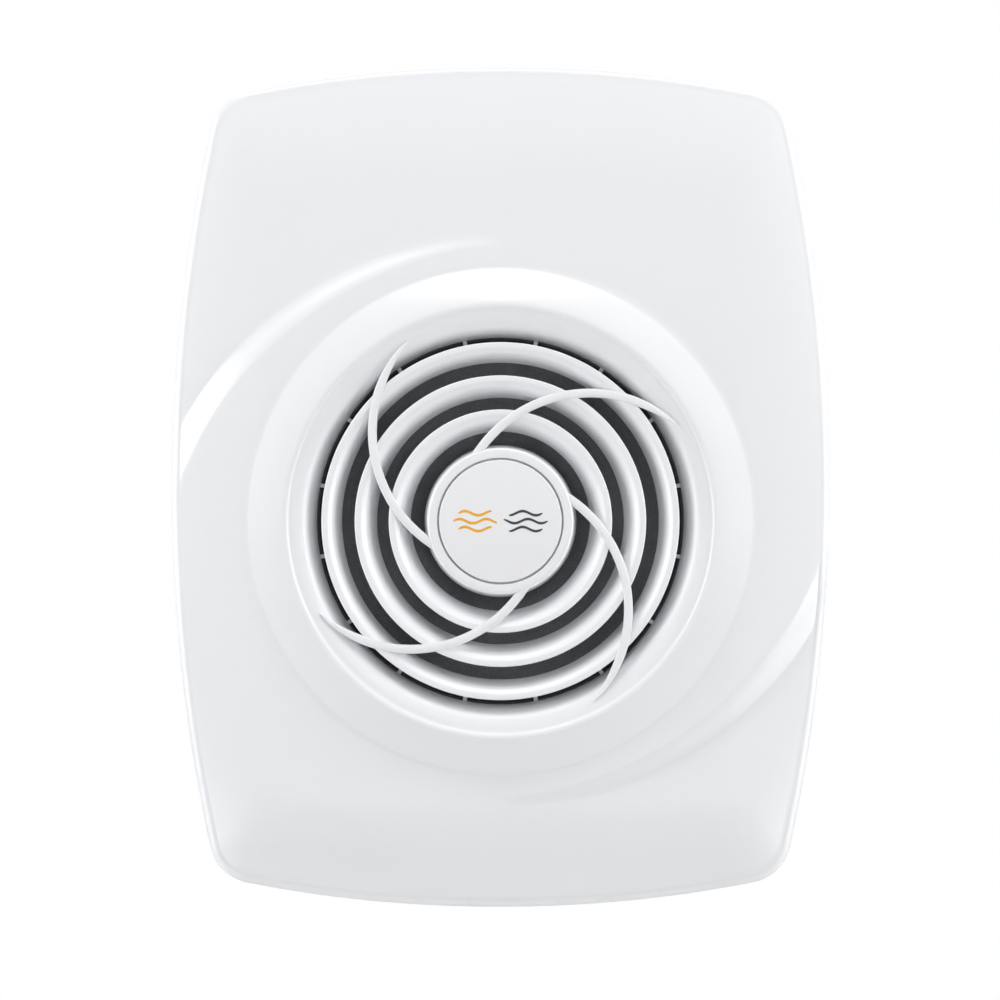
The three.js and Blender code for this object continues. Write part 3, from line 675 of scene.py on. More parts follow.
def rod(
    x: float, z: float, radius: float, y0: float, y1: float, edge: float = 0.3, steps: int = 40
) -> Solid:
    """Round bar along Y with softened rims.

    Args:
        x: The axis's x.
        z: The axis's z.
        radius: The bar's radius.
        y0: Front end.
        y1: Back end.
        edge: Chamfer on both rims.
        steps: Divisions round the axis.

    Returns:
        The bar.
    """
    flat = radius - edge
    section = [(0, y0), (flat, y0), (radius, y0 + edge), (radius, y1 - edge), (flat, y1), (0, y1)]
    return lathe(section, steps).moved(x, 0, z)


def extruded(outline: Sequence[Point], y0: float, y1: float, edge: float = 0.0) -> Solid:
    """Flat shape in X and Z given thickness along Y.

    Args:
        outline: Points round the shape.
        y0: Front.
        y1: Back.
        edge: Chamfer on the front and back rims.

    Returns:
        The solid.
    """
    count = len(outline)
    if edge <= 0:
        rows = [(y0, 0.0), (y1, 0.0)]
    else:
        rows = [(y0, edge), (y0 + 0.3 * edge, 0.3 * edge), (y0 + edge, 0.0)]
        rows += [(y1 - edge, 0.0), (y1 - 0.3 * edge, 0.3 * edge), (y1, edge)]
    points = [(x, y, z) for y, inset in rows for x, z in inward(outline, inset)]
    faces = [tuple(range(count)), tuple(reversed(range(count * (len(rows) - 1), count * len(rows))))]
    for row in range(len(rows) - 1):
        for k in range(count):
            n = (k + 1) % count
            here, there = row * count, (row + 1) * count
            faces.append((here + k, here + n, there + n, there + k))
    return Solid(points, faces)


def inward(outline: Sequence[Point], inset: float) -> list[Point]:
    """Moves an outline towards its inside.

    Args:
        outline: Points round the shape.
        inset: How far inwards.

    Returns:
        The moved points, in the same order.
    """
    if inset <= 0:
        return list(outline)
    spots = np.array(outline)
    before, after = np.roll(spots, 1, axis=0), np.roll(spots, -1, axis=0)
    first, second = spots - before, after - spots
    first /= np.maximum(np.linalg.norm(first, axis=1, keepdims=True), 1e-9)
    second /= np.maximum(np.linalg.norm(second, axis=1, keepdims=True), 1e-9)
    along = first + second
    along /= np.maximum(np.linalg.norm(along, axis=1, keepdims=True), 1e-9)
    area = 0.5 * np.sum(spots[:, 0] * after[:, 1] - after[:, 0] * spots[:, 1])
    normal = np.stack([-along[:, 1], along[:, 0]], axis=1) * (1 if area > 0 else -1)
    stretch = 1 / np.maximum(np.abs(np.sum(first * along, axis=1)), 0.5)
    return [tuple(p) for p in spots + normal * inset * stretch[:, None]]


def block(x: Point, y: Point, z: Point, radius: float = 0.0, edge: float = 0.4) -> Solid:
    """Box with rounded corners in X and Z and a softened front and back.

    Args:
        x: Left and right.
        y: Front and back.
        z: Bottom and top.
        radius: Radius of the four upright corners.
        edge: Chamfer on the front and back rims.

    Returns:
        The solid.
    """
    spots = [(x[0], z[0]), (x[1], z[0]), (x[1], z[1]), (x[0], z[1])]
    return extruded(rounded([(*spot, radius) for spot in spots]), y[0], y[1], edge)


def square(half: float, y: Point, radius: float = 0.0, edge: float = 0.4, z: float = 0.0) -> Solid:
    """Square block centred at x = 0 and z."""
    return block((-half, half), y, (z - half, z + half), radius, edge)


def loop_row(spots: np.ndarray, y: Any) -> np.ndarray:
    """Points of a loop in X and Z set at y, which is one number or one for each point."""
    return np.stack([spots[:, 0], np.broadcast_to(y, len(spots)), spots[:, 1]], axis=1)


def skin(rows: Sequence[np.ndarray]) -> Solid:
    """Closed shell through loops of points.

    Args:
        rows: Loops with the same number of points. The last is joined to the first.

    Returns:
        The shell.
    """
    count, total = len(rows[0]), len(rows)
    faces = []
    for i in range(total):
        a, b = i * count, ((i + 1) % total) * count
        faces += [(a + k, a + (k + 1) % count, b + (k + 1) % count, b + k) for k in range(count)]
    return Solid(np.concatenate(rows), faces)


def along_x(solid: Solid) -> Solid:
    """The solid with its depth along X, and its first outline axis along Y."""
    return Solid([(y, x, z) for x, y, z in solid.points], solid.faces)


def along_z(solid: Solid) -> Solid:
    """The solid with its depth along Z, and its second outline axis along Y."""
    return Solid([(x, z, y) for x, y, z in solid.points], solid.faces)


def cap(radius: float, chord: float, side: int = 1, inner: float = 0.0) -> list[Point]:
    """Part of a disc above or below a chord.

    Args:
        radius: The disc's radius.
        chord: Distance of the chord from the centre.
        side: 1 above the centre, -1 below.
        inner: Radius of a round bite out of the middle.

    Returns:
        The outline.
    """
    start = math.degrees(math.asin(chord / radius))
    points = arc(0, 0, radius, start, 180 - start, 72)
    if inner:
        bite = math.degrees(math.asin(chord / inner))
        points += arc(0, 0, inner, 180 - bite, bite, 40)
    return [(x, side * z) for x, z in points]


# ---------------------------------------------------------------------------------------------
# Pieces
# ---------------------------------------------------------------------------------------------
def linked(name: str, data: Any) -> bpy.types.Object:
    """A new object of the data, in the scene.

    Args:
        name: The object's name.
        data: Its mesh, curve, light or camera.

    Returns:
        The object.
    """
    made = bpy.data.objects.new(name, data)
    bpy.context.scene.collection.objects.link(made)
    return made


def baked(source: bpy.types.Object) -> bpy.types.Mesh:
    """A plain mesh of an object as its modifiers leave it."""
    evaluated = source.evaluated_get(bpy.context.evaluated_depsgraph_get())
    return bpy.data.meshes.new_from_object(evaluated)


def through_nodes(tree: Any, data: Any, values: dict[str, Any]) -> bpy.types.Mesh:
    """Runs a geometry node tree over some data.

    Args:
        tree: The node tree.
        data: The mesh or curve that goes in.
        values: The tree's inputs by identifier.

    Returns:
        A plain mesh of what comes out.
    """
    source = linked("source", data)
    change = source.modifiers.new("nodes", "NODES")
    change.node_group = tree
    for identifier, value in values.items():
        change[identifier] = value
    made = baked(source)
    source.modifiers.remove(change)
    bpy.data.objects.remove(source)
    return made


def carved(name: str, body: Solid, tools: Sequence[Solid]) -> bpy.types.Mesh:
    """Cuts the tools out of the body.

    Args:
        name: The mesh's name.
        body: What is cut.
        tools: What is removed.

    Returns:
        The cut mesh.
    """
    base = linked(name, body.mesh(name))
    cutters = []
    for i, tool in enumerate(tools):
        cutter = linked(f"{name}_tool_{i}", tool.mesh("tool"))
        change = base.modifiers.new("cut", "BOOLEAN")
        change.operation, change.solver, change.object = "DIFFERENCE", "MANIFOLD", cutter
        cutters.append(cutter)
    made = baked(base)
    for used in [base, *cutters]:
        bpy.data.objects.remove(used)
    return made


def place(
    name: str,
    shape: Any,
    finish: Finish,
    slot: Optional[str] = None,
    body: str = "root",
    sharp: float = 32.0,
) -> bpy.types.Object:
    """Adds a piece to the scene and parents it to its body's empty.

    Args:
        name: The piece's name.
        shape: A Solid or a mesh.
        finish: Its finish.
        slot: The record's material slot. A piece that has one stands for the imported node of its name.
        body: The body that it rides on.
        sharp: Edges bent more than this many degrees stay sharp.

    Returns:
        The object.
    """
    mesh = shape.mesh(name) if isinstance(shape, Solid) else shape
    mesh.name = name
    mesh.materials.clear()
    mesh.materials.append(material(finish))
    mesh.shade_smooth()
    mesh.set_sharp_from_angle(angle=math.radians(sharp))
    piece = linked(name, mesh)
    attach(piece, body)
    if slot:
        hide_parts(name)
    LOG.info("%s: %d faces on %s", name, len(mesh.polygons), body)
    return piece


# ---------------------------------------------------------------------------------------------
# Repeats by geometry nodes
# ---------------------------------------------------------------------------------------------
class Pattern(Enum):
    """How copies of one element are laid out."""

    RADIAL = "round an axis along Y"
    LINEAR = "in a straight row"


class Repeat:
    """Geometry node tree that repeats an element, and ends in plain, dressed geometry."""

    def __init__(self, pattern: Pattern) -> None:
        """Builds the tree.

        Args:
            pattern: How the copies are laid out.
        """
        self.pattern = pattern
        self.tree = bpy.data.node_groups.new(f"repeat_{pattern.name.lower()}", "GeometryNodeTree")
        self.sockets: dict[str, str] = {}
        self._socket("Element", "NodeSocketGeometry")
        self._socket("Count", "NodeSocketInt")
        self._socket("Start", "NodeSocketVector")
        self._socket("Step", "NodeSocketVector")
        self._socket("Finish", "NodeSocketMaterial")
        self.tree.interface.new_socket("Copies", in_out="OUTPUT", socket_type="NodeSocketGeometry")
        self._build()

    def _socket(self, name: str, kind: str) -> None:
        """Adds a named input."""
        made = self.tree.interface.new_socket(name, in_out="INPUT", socket_type=kind)
        self.sockets[name] = made.identifier

    def _node(
        self, kind: str, settings: Optional[dict] = None, inputs: Optional[dict] = None
    ) -> Any:
        """Adds a node.

        Args:
            kind: The node's type.
            settings: Properties.
            inputs: Values or output sockets by name or index.

        Returns:
            The node.
        """
        made = self.tree.nodes.new(kind)
        for name, value in (settings or {}).items():
            setattr(made, name, value)
        for key, value in (inputs or {}).items():
            if isinstance(value, bpy.types.NodeSocket):
                self.tree.links.new(value, made.inputs[key])
            else:
                made.inputs[key].default_value = value
        return made

    def _build(self) -> None:
        """Lays out the copies and joins them into one dressed mesh."""
        given = self._node("NodeGroupInput")
        index = self._node("GeometryNodeInputIndex")
        steps = {0: given.outputs["Step"], "Scale": index.outputs[0]}
        travel = self._node("ShaderNodeVectorMath", {"operation": "SCALE"}, steps)
        if self.pattern is Pattern.LINEAR:
            shifts = {0: given.outputs["Start"], 1: travel.outputs[0]}
            spot = self._node("ShaderNodeVectorMath", {"operation": "ADD"}, shifts).outputs[0]
        else:
            spot = given.outputs["Start"]
        points = {"Count": given.outputs["Count"], "Position": spot}
        dots = self._node("GeometryNodePoints", None, points)
        copies = {"Points": dots.outputs[0], "Instance": given.outputs["Element"]}
        if self.pattern is Pattern.RADIAL:
            turn = self._node("FunctionNodeEulerToRotation", None, {0: travel.outputs[0]})
            copies["Rotation"] = turn.outputs[0]
        placed = self._node("GeometryNodeInstanceOnPoints", None, copies)
        real = self._node("GeometryNodeRealizeInstances", None, {0: placed.outputs[0]})
        finished = {0: real.outputs[0], "Material": given.outputs["Finish"]}
        dressed = self._node("GeometryNodeSetMaterial", None, finished)
        self._node("NodeGroupOutput", None, {0: dressed.outputs[0]})

    def run(
        self, element: Solid, count: int, start: Sequence[float], step: Sequence[float], finish: Finish
    ) -> bpy.types.Mesh:
        """Makes the copies.

        Args:
            element: One copy, placed about the origin.
            count: How many copies.
            start: Where the first copy, or the axis, stands, in millimetres.
            step: Shift in millimetres, or turn in radians, from one copy to the next.
            finish: The copies' finish.

        Returns:
            A plain mesh of all the copies.
        """
        scale = MM if self.pattern is Pattern.LINEAR else 1.0
        values = {
            "Count": count,
            "Start": [v * MM for v in start],
            "Step": [v * scale for v in step],
            "Finish": material(finish),
        }
        named = {self.sockets[name]: value for name, value in values.items()}
        return through_nodes(self.tree, element.mesh("element"), named)


class Repeats:
    """The two repeat trees, made once."""

    def __init__(self) -> None:
        """Builds both trees."""
        self.trees = {pattern: Repeat(pattern) for pattern in Pattern}

    def row(
        self, element: Solid, count: int, start: Sequence[float], step: Sequence[float], finish: Finish
    ) -> bpy.types.Mesh:
        """Copies in a straight row."""
        return self.trees[Pattern.LINEAR].run(element, count, start, step, finish)

    def round(
        self, element: Solid, count: int, finish: Finish, pivot: Sequence[float] = (0, 0, 0)
    ) -> bpy.types.Mesh:
        """Copies all the way round an axis along Y through pivot."""
        step = (0, 2 * math.pi / count, 0)
        return self.trees[Pattern.RADIAL].run(element, count, pivot, step, finish)


def merged(name: str, meshes: Sequence[Any]) -> bpy.types.Mesh:
    """Joins solids and meshes into one mesh.

    Args:
        name: The mesh's name.
        meshes: Solids or meshes.

    Returns:
        The joined mesh.
    """
    work = bmesh.new()
    for one in meshes:
        work.from_mesh(one.mesh("part") if isinstance(one, Solid) else one)
    made = bpy.data.meshes.new(name)
    work.to_mesh(made)
    work.free()
    return made


# ---------------------------------------------------------------------------------------------
# Room cover
# ---------------------------------------------------------------------------------------------
@dataclass
class CoverOutline:
    """Barrel outline of the cover: bowed sides and ends with rounded corners."""

    width: float = 250.0
    height: float = 320.0
    side_radius: float = 640.0
    end_radius: float = 491.6
    corner: float = 18.0
    lift: float = 13.0

    def quarter(self, inset: float, steps: int) -> list[Point]:
        """Points from the right-hand side to the top, moved inwards.

        Args:
            inset: How far inwards.
            steps: Divisions of each of the three arcs.

        Returns:
            The points, about the cover's centre.
        """
        side_x = self.width / 2 - self.side_radius
        end_z = self.height / 2 - self.end_radius
        reach = self.side_radius - self.corner
        other = self.end_radius - self.corner
        apart = math.hypot(side_x, end_z)
        along = (reach**2 - other**2 + apart**2) / (2 * apart)
        aside = math.sqrt(reach**2 - along**2)
        ux, uz = -side_x / apart, end_z / apart
        cx, cz = side_x + along * ux - aside * uz, along * uz + aside * ux
        low = math.degrees(math.atan2(cz, cx - side_x))
        high = math.degrees(math.atan2(cz - end_z, cx))
        points = arc(side_x, 0, self.side_radius - inset, 0, low, steps)[:-1]
        points += arc(cx, cz, self.corner - inset, low, high, steps)[:-1]
        return points + arc(0, end_z, self.end_radius - inset, high, 90, steps)

    def loop(self, inset: float = 0.0, steps: int = 30) -> np.ndarray:
        """Closed outline, anticlockwise from the right, in the part's frame.

        Args:
            inset: How far inwards.
            steps: Divisions of each arc.

        Returns:
            Rows of x and z.
        """
        up = np.array(self.quarter(inset, steps))
        down = up[::-1]
        quarters = [up, down * (-1, 1), up * (-1, -1), down * (1, -1)]
        return np.concatenate([quarter[:-1] for quarter in quarters]) + (0, self.lift)


@dataclass(frozen=True)
class Rays:
    """Directions from the duct axis over the cover, with where each crosses the curved steps."""

    angle: np.ndarray
    local: np.ndarray
    unit: np.ndarray
    inner: np.ndarray
    outer: np.ndarray
    span: np.ndarray
    crest: np.ndarray
    foot: np.ndarray

    def spots(self, share: np.ndarray) -> np.ndarray:
        """X and Z at a share of the way from the boss to the cover's edge."""
        return self.inner + (self.outer - self.inner) * share[:, None]


@dataclass
class RoomCover:
    """Moulded front cover with its raised boss and two curved steps, the ring grille and the badge."""

    outline: CoverOutline = field(default_factory=CoverOutline)
    wall: float = 2.6
    panel: float = -46.0
    skirt_back: float = -1.5
    edge_radius: float = 3.4
    dome_drop: float = 6.0
    dome_width: float = 40.0
    bottom_drop: float = 6.0
    bottom_width: float = 22.0
    raise_most: float = 4.8
    raise_start: float = 0.0004
    raise_power: float = 0.3
    crease: float = 96.2
    crest_radius: float = 82.4
    crest: float = -55.3
    boss_power: float = 1.15
    arm_crest: tuple[float, float, float] = (12.31, -38.62, 144.37)
    arm_foot: tuple[float, float, float] = (-0.65, -30.16, 137.92)
    arm_start: float = 91.0
    arm_end: float = 179.5
    slots: int = 7
    slot_pitch: float = 17.0
    slot_width: float = 12.0
    grille_front: float = -54.0
    hub_front: float = -55.0
    ring_backs: tuple[float, ...] = (34.0, 46.8, 60.1)
    ring_fronts: tuple[float, ...] = (42.3, 55.2, 67.8)
    ring_back: float = -44.0
    ring_lip: float = 2.5
    spoke_arc: tuple[float, float, float] = (-2.46, -33.71, 50.97)
    spoke_turn: tuple[float, float] = (57.5, -42.5)
    spoke_half: float = 1.68
    spokes: int = 4
    hub: float = 27.6
    badge: float = 23.2
    tabs: int = 16
    flange: tuple[float, float] = (70.0, 73.6)
    flange_back: float = -41.4
    stream_centre: float = 9.6
    streams: tuple[tuple[float, float], ...] = ((-3.0, 6.4), (0.0, 8.4), (3.0, 6.4))

    def build(self, repeats: Repeats) -> None:
        """Makes every piece of the cover."""
        half, middle = self.slot_width / 2, (self.slots - 1) / 2
        centres = [(i - middle) * self.slot_pitch for i in range(self.slots)]
        slots = [block((x - half, x + half), (-24, -9), (-156, -135), 0.0, 0.0) for x in centres]
        cover = carved("front_cover", self.shell(), slots)
        place("front_cover", cover, Finish.COVER, "cover_white", "cover", sharp=50)
        self.make_grille(repeats)
        self.make_badge()

    # -- surface --------------------------------------------------------------------------------
    @staticmethod
    def reach(angle: np.ndarray, circle: tuple[float, float, float]) -> np.ndarray:
        """Distance from the duct axis to a circle along each direction.

        Args:
            angle: Directions in radians.
            circle: X and z of its centre, and its radius.

        Returns:
            The distances.
        """
        cx, cz, radius = circle
        along = cx * np.cos(angle) + cz * np.sin(angle)
        return along + np.sqrt(along**2 - cx**2 - cz**2 + radius**2)

    def swell(self, angle: np.ndarray) -> np.ndarray:
        """How far the panel is raised in each direction, apart from the steps.

        Args:
            angle: Directions in radians.

        Returns:
            The height, from nothing straight up and down to the most at the sides.
        """
        start = self.raise_start**self.raise_power
        share = (np.cos(angle) ** 2 + self.raise_start) ** self.raise_power - start
        return self.raise_most * share / (1 - start)

    def rays(self) -> Rays:
        """One ray through each point of the cover's outline."""
        rim = self.outline.loop(0)
        angle = np.arctan2(rim[:, 1], rim[:, 0])
        unit = np.stack([np.cos(angle), np.sin(angle)], axis=1)
        local = np.degrees(angle) % 180.0
        inner, outer = unit * self.crease, self.outline.loop(self.edge_radius)
        span = np.linalg.norm(outer - inner, axis=1)
        return Rays(angle, local, unit, inner, outer, span, *self.arm_places(local, span))

    def arm_places(self, local: np.ndarray, span: np.ndarray) -> tuple[np.ndarray, np.ndarray]:
        """Where each direction crosses the step's crest and foot, as shares of the panel.

        Args:
            local: Direction in degrees, from 0 to 180.
            span: Panel width in each direction.

        Returns:
            The crest's and the foot's share. Between the arms they drift back to the arm's start.
        """
        turn = np.radians(local)
        crest = (self.reach(turn, self.arm_crest) - self.crease) / span
        foot = (self.reach(turn, self.arm_foot) - self.crease) / span
        inside = (local >= self.arm_start) & (local <= self.arm_end)
        order = np.argsort(local)
        first = order[np.argmax(inside[order])]
        last = order[len(order) - 1 - np.argmax(inside[order][::-1])]
        gap = 180.0 - local[last] + local[first]
        passed = (local - local[last]) % 180.0
        slide = np.where(inside, 0.0, passed / gap)
        crest = np.where(inside, crest, crest[last] + (crest[first] - crest[last]) * slide)
        foot = np.where(inside, foot, foot[last] + (foot[first] - foot[last]) * slide)
        return crest, np.maximum(foot, crest + 0.012)

    def lifted(self, rays: Rays, share: np.ndarray) -> np.ndarray:
        """Height of the panel above its base.

        Args:
            rays: The cover's rays.
            share: Place along each.

        Returns:
            The height.
        """
        t = np.clip((share - rays.crest) / (rays.foot - rays.crest), 0, 1)
        step = 1 - t + 0.3 * np.sin(2 * math.pi * t) / (2 * math.pi)
        return self.swell(rays.angle) * np.where(rays.local >= self.arm_start, step, 1.0)

    def panel_at(self, rays: Rays, share: np.ndarray) -> np.ndarray:
        """Y of the panel's outer face.

        Args:
            rays: The cover's rays.
            share: Place along each, 0 at the boss and 1 at the edge's rounding.

        Returns:
            Y on each ray.
        """
        inset = self.edge_radius + (1 - share) * rays.span
        low = np.maximum(0, -np.sin(rays.angle))
        most = self.dome_drop + self.bottom_drop * low**3
        drop = most * np.maximum(0, 1 - inset / self.dome_width) ** 2
        drop += self.bottom_drop * low**6 * np.maximum(0, 1 - inset / self.bottom_width) ** 2
        return self.panel - self.lifted(rays, share) + drop

    def shell(self) -> Solid:
        """The closed shell of the cover, without its slots.

        Returns:
            A skin over the front, round the edge, and back along the inside.
        """
        rays = self.rays()
        at_edge = self.panel_at(rays, np.ones(len(rays.angle)))
        rows = [loop_row(rays.unit * radius, y) for radius, y in self.recess_section()]
        rows += self.front_rows(rays)
        rows += self.edge_rows(at_edge)
        rows += self.inside_rows(rays)
        return skin(rows)

    def recess_section(self) -> list[Point]:
        """Radius and y from the grille's back up the recess wall and over the rolled lip."""
        wall = [
            (69.6, -44), (70.0, -45.8), (70.5, -47.4), (71.1, -48.9), (71.8, -50.2), (72.6, -51.3),
            (73.5, -52.2), (74.5, -52.95), (75.6, -53.55),
        ]
        lip = [(76.7, -53.95), (77.7, -54.2), (78.7, -54.35), (79.8, -54.4)]
        step = [(80.3, -54.55), (80.7, -54.85), (81.1, -55.1), (81.7, -55.25)]
        return [*wall, *lip, *step, (self.crest_radius, self.crest)]

    def front_rows(self, rays: Rays) -> list[np.ndarray]:
        """Loops down the boss's cone and over the panel to the edge's rounding.

        Args:
            rays: The cover's rays.

        Returns:
            The loops, closer together where the panel steps.
        """
        rows = []
        base = self.panel_at(rays, np.zeros(len(rays.angle)))
        for t in np.linspace(0, 1, 18)[1:]:
            radius = self.crest_radius + (self.crease - self.crest_radius) * t
            y = self.crest + (base - self.crest) * t**self.boss_power
            rows.append(loop_row(rays.unit * radius, y))
        crest = np.minimum(rays.crest, 0.955)
        foot = np.maximum(np.minimum(rays.foot, 0.985), crest + 0.012)
        bounds = [np.zeros_like(crest), crest, foot, np.ones_like(crest)]
        for low, high, count in zip(bounds, bounds[1:], (15, 12, 29)):
            for t in np.linspace(0, 1, count + 1)[1:]:
                share = low + (high - low) * t
                rows.append(loop_row(rays.spots(share), self.panel_at(rays, share)))
        return rows

    def edge_rows(self, at_edge: np.ndarray) -> list[np.ndarray]:
        """Loops round the rounded edge, down the skirt and up its inside.

        Args:
            at_edge: Y of the panel where the rounding starts.

        Returns:
            The loops.
        """
        rows = []
        for t in np.linspace(0, 1, 13)[1:]:
            inset = self.edge_radius * (1 - math.sin(t * math.pi / 2))
            fall = 1 - math.cos(t * math.pi / 2)
            rows.append(loop_row(self.outline.loop(inset), at_edge + self.edge_radius * fall))
        back = at_edge + self.edge_radius
        for t in np.linspace(0, 1, 6)[1:]:
            rows.append(loop_row(self.outline.loop(0), back + (self.skirt_back + 0.5 - back) * t))
        inside = self.outline.loop(self.wall)
        rows.append(loop_row(self.outline.loop(0.5), self.skirt_back))
        rows.append(loop_row(inside, self.skirt_back))
        rows.append(loop_row(inside, back + 1))
        rows.append(loop_row(self.outline.loop(self.edge_radius + 1), at_edge + self.wall))
        return rows

    def inside_rows(self, rays: Rays) -> list[np.ndarray]:
        """Loops over the panel's inner face and back to the recess.

        Args:
            rays: The cover's rays.

        Returns:
            The loops.
        """
        rows = []
        for t in np.linspace(0.92, 0, 12):
            share = np.full(len(rays.angle), t)
            rows.append(loop_row(rays.spots(share), self.panel_at(rays, share) + self.wall))
        under = [(88, -50.2), (83, -52.2), (79.4, -52.4), (76.6, -49.6), (72.6, -44)]
        return rows + [loop_row(rays.unit * radius, y) for radius, y in under]

    # -- grille ---------------------------------------------------------------------------------
    def ring(self, back: float, front: float) -> Solid:
        """One funnel ring with a flat front lip.

        Args:
            back: Inner radius at its back.
            front: Outer radius at its front.

        Returns:
            The ring.
        """
        f, b, lip = self.grille_front, self.ring_back, front - self.ring_lip
        inner = [
            (lip - (lip - back) * t**0.62, f + 0.25 + (b - f - 0.3) * t**1.15)
            for t in np.linspace(0, 1, 14)
        ]
        outer = [(back + 1.5, b), (back + 2.2, b - 3.0), (front - 2.0, f + 4.4), (front - 0.25, f + 1.9)]
        rim = [(front, f + 1.2), (front, f + 0.35), (front - 0.3, f + 0.05), (front - 0.9, f)]
        return lathe([*inner, *outer, *rim, (lip + 0.7, f), (lip + 0.2, f + 0.08)], 192)

    def hub_cup(self) -> Solid:
        """Hub with a pocket for the badge.

        Returns:
            The hub.
        """
        floor, f, b = self.hub_front + 2.1, self.hub_front, self.ring_back
        pocket, under = self.badge + 0.75, floor + 1.8
        return turned_part([
            (0, floor, 0), (pocket, floor, 0.2), (pocket, f, 0.35), (self.hub, f, 1.3),
            (self.hub + 1.3, b, 0.3), (self.hub - 0.6, b, 0.3), (self.hub - 1.6, under, 0.6),
            (0, under, 0),
        ])

    def spoke(self) -> Solid:
        """Curved spoke with a flat face and soft edges, tapering to a point on the rim.

        Returns:
            The spoke, from the hub outwards.
        """
        cx, cz, radius = self.spoke_arc
        depth, taper = 6.0, 0.72
        side = [(1.0, depth), (1.0, 0.9), (0.82, 0.25), (0.45, 0.0)]
        section = [(-across, back) for across, back in side] + side[::-1]
        turns = np.radians(np.linspace(*self.spoke_turn, 61))
        wide, last = len(section), len(turns) - 1
        points: list[tuple[float, float, float]] = []
        for i, turn in enumerate(turns):
            half = self.spoke_half * (1 - max(0.0, (i / last - taper) / (1 - taper)) ** 2.2 * 0.93)
            for across, back in section:
                reach, y = radius + across * half, self.hub_front + 0.35 + back
                points.append((cx + reach * math.cos(turn), y, cz + reach * math.sin(turn)))
        faces = [tuple(range(wide)), tuple(reversed(range(wide * last, wide * (last + 1))))]
        for i in range(last):
            here, there = i * wide, (i + 1) * wide
            for k in range(wide):
                n = (k + 1) % wide
                faces.append((here + k, here + n, there + n, there + k))
        return Solid(points, faces)

    def make_grille(self, repeats: Repeats) -> None:
        """Hub, rings, spokes, tabs and flange in one piece."""
        inner, outer = self.flange
        back = self.flange_back
        rings = [self.ring(b, f) for b, f in zip(self.ring_backs, self.ring_fronts)]
        flange = tube(inner, outer, back - 2.1, back)
        spokes = repeats.round(self.spoke(), self.spokes, Finish.COVER)
        tab = block((inner - 4.2, inner - 1.6), (back - 2.6, back), (-0.55, 0.55), 0.2, 0.1)
        tab += block((inner - 2, inner + 1), (back - 1.6, back), (-0.8, 0.8))
        tabs = repeats.round(tab.turned(math.pi / self.tabs), self.tabs, Finish.COVER)
        mesh = merged("swirl_grille", [self.hub_cup(), *rings, flange, spokes, tabs])
        place("swirl_grille", mesh, Finish.COVER, "cover_white", "cover", sharp=40)

    # -- badge ----------------------------------------------------------------------------------
    def make_badge(self) -> None:
        """Round badge with a plain pictogram: three amber waves that meet three dark ones."""
        f, back = self.hub_front - 0.3, self.hub_front + 1.8
        disc = turned_part([(0, f, 0), (self.badge, f, 0.5), (self.badge, back, 0.2), (0, back, 0)])
        place("badge_disc", disc, Finish.BADGE, "badge_silver", "cover")
        prints = ((Finish.AMBER_INK, "badge_amber", 0.0), (Finish.DARK_INK, "badge_dark", math.pi))
        streams = joined([self.stream(height, half) for height, half in self.streams])
        for finish, name, turn in prints:
            place(name, streams.turned(turn).moved(0, f - 0.06, 0), finish, body="cover")

    def stream(self, height: float, half: float) -> Solid:
        """Thin wavy stroke with round ends, left of the badge's middle.

        Args:
            height: Height above the axis.
            half: Half of its length.

        Returns:
            The stroke.
        """
        xs = np.linspace(-half, half, 49)
        mid = height + 0.8 * np.sin((xs + half) * 0.62)
        width = 0.5 * np.sqrt(np.maximum(0.05, 1 - (xs / half) ** 8))
        upper, lower = list(zip(xs, mid + width)), list(zip(xs, mid - width))
        return extruded(lower + upper[::-1], 0.0, 0.06).moved(-self.stream_centre, 0, 0)


# ---------------------------------------------------------------------------------------------
# Screws
# ---------------------------------------------------------------------------------------------
@dataclass(frozen=True)
class Screw:
    """Cross-recessed pan-head screw along Y, with its head's underside at y = 0."""

    head: float
    shank: float
    height: float
    length: float
    pitch: float = 1.1
    turn: float = 0.7

    def mesh(self) -> bpy.types.Mesh:
        """The screw, with its head towards -Y.

        Returns:
            The head, thread and point in one mesh.
        """
        r, h, root = self.head, self.height, self.shank * 0.76
        profile = [(0, 1), (0.5, 0.98), (0.8, 0.8), (0.96, 0.45), (1, 0.15), (0.97, 0)]
        dome = [(r * across, -h * up) for across, up in profile]
        thread = [(root, 0.0)]
        for y in np.arange(0.6, self.length - 2 * self.shank, self.pitch):
            thread += [(root, y), (self.shank, y + 0.3 * self.pitch), (root, y + 0.6 * self.pitch)]
        tip = [(root, self.length - 1.4 * self.shank), (0, self.length)]
        wide, long, deep = 0.13 * r, 0.6 * r, (-h - 1, -h * 0.4)
        spans = [((-wide, wide), (-long, long)), ((-long, long), (-wide, wide))]
        cross = [block(across, deep, up, 0, 0) for across, up in spans]
        return carved("screw", lathe(dome + thread + tip, 32), cross)

    def fit(self, name: str, places: Sequence[Point], seat: float, reverse: bool = False) -> None:
        """Places a set of these screws.

        Args:
            name: The nodes' name, before the number.
            places: X and Z of each screw.
            seat: Y of the heads' undersides.
            reverse: True for screws whose shanks point to -Y.
        """
        made = self.mesh()
        facing = Matrix.Rotation(math.pi if reverse else 0.0, 4, "X")
        for i, (x, z) in enumerate(places):
            one = made.copy()
            turn = facing @ Matrix.Rotation(self.turn * i + 0.2, 4, "Y")
            one.transform(Matrix.Translation((x * MM, seat * MM, z * MM)) @ turn)
            node = f"{name}_{i + 1}"
            place(node, one, Finish.SCREW, "steel", sharp=30)


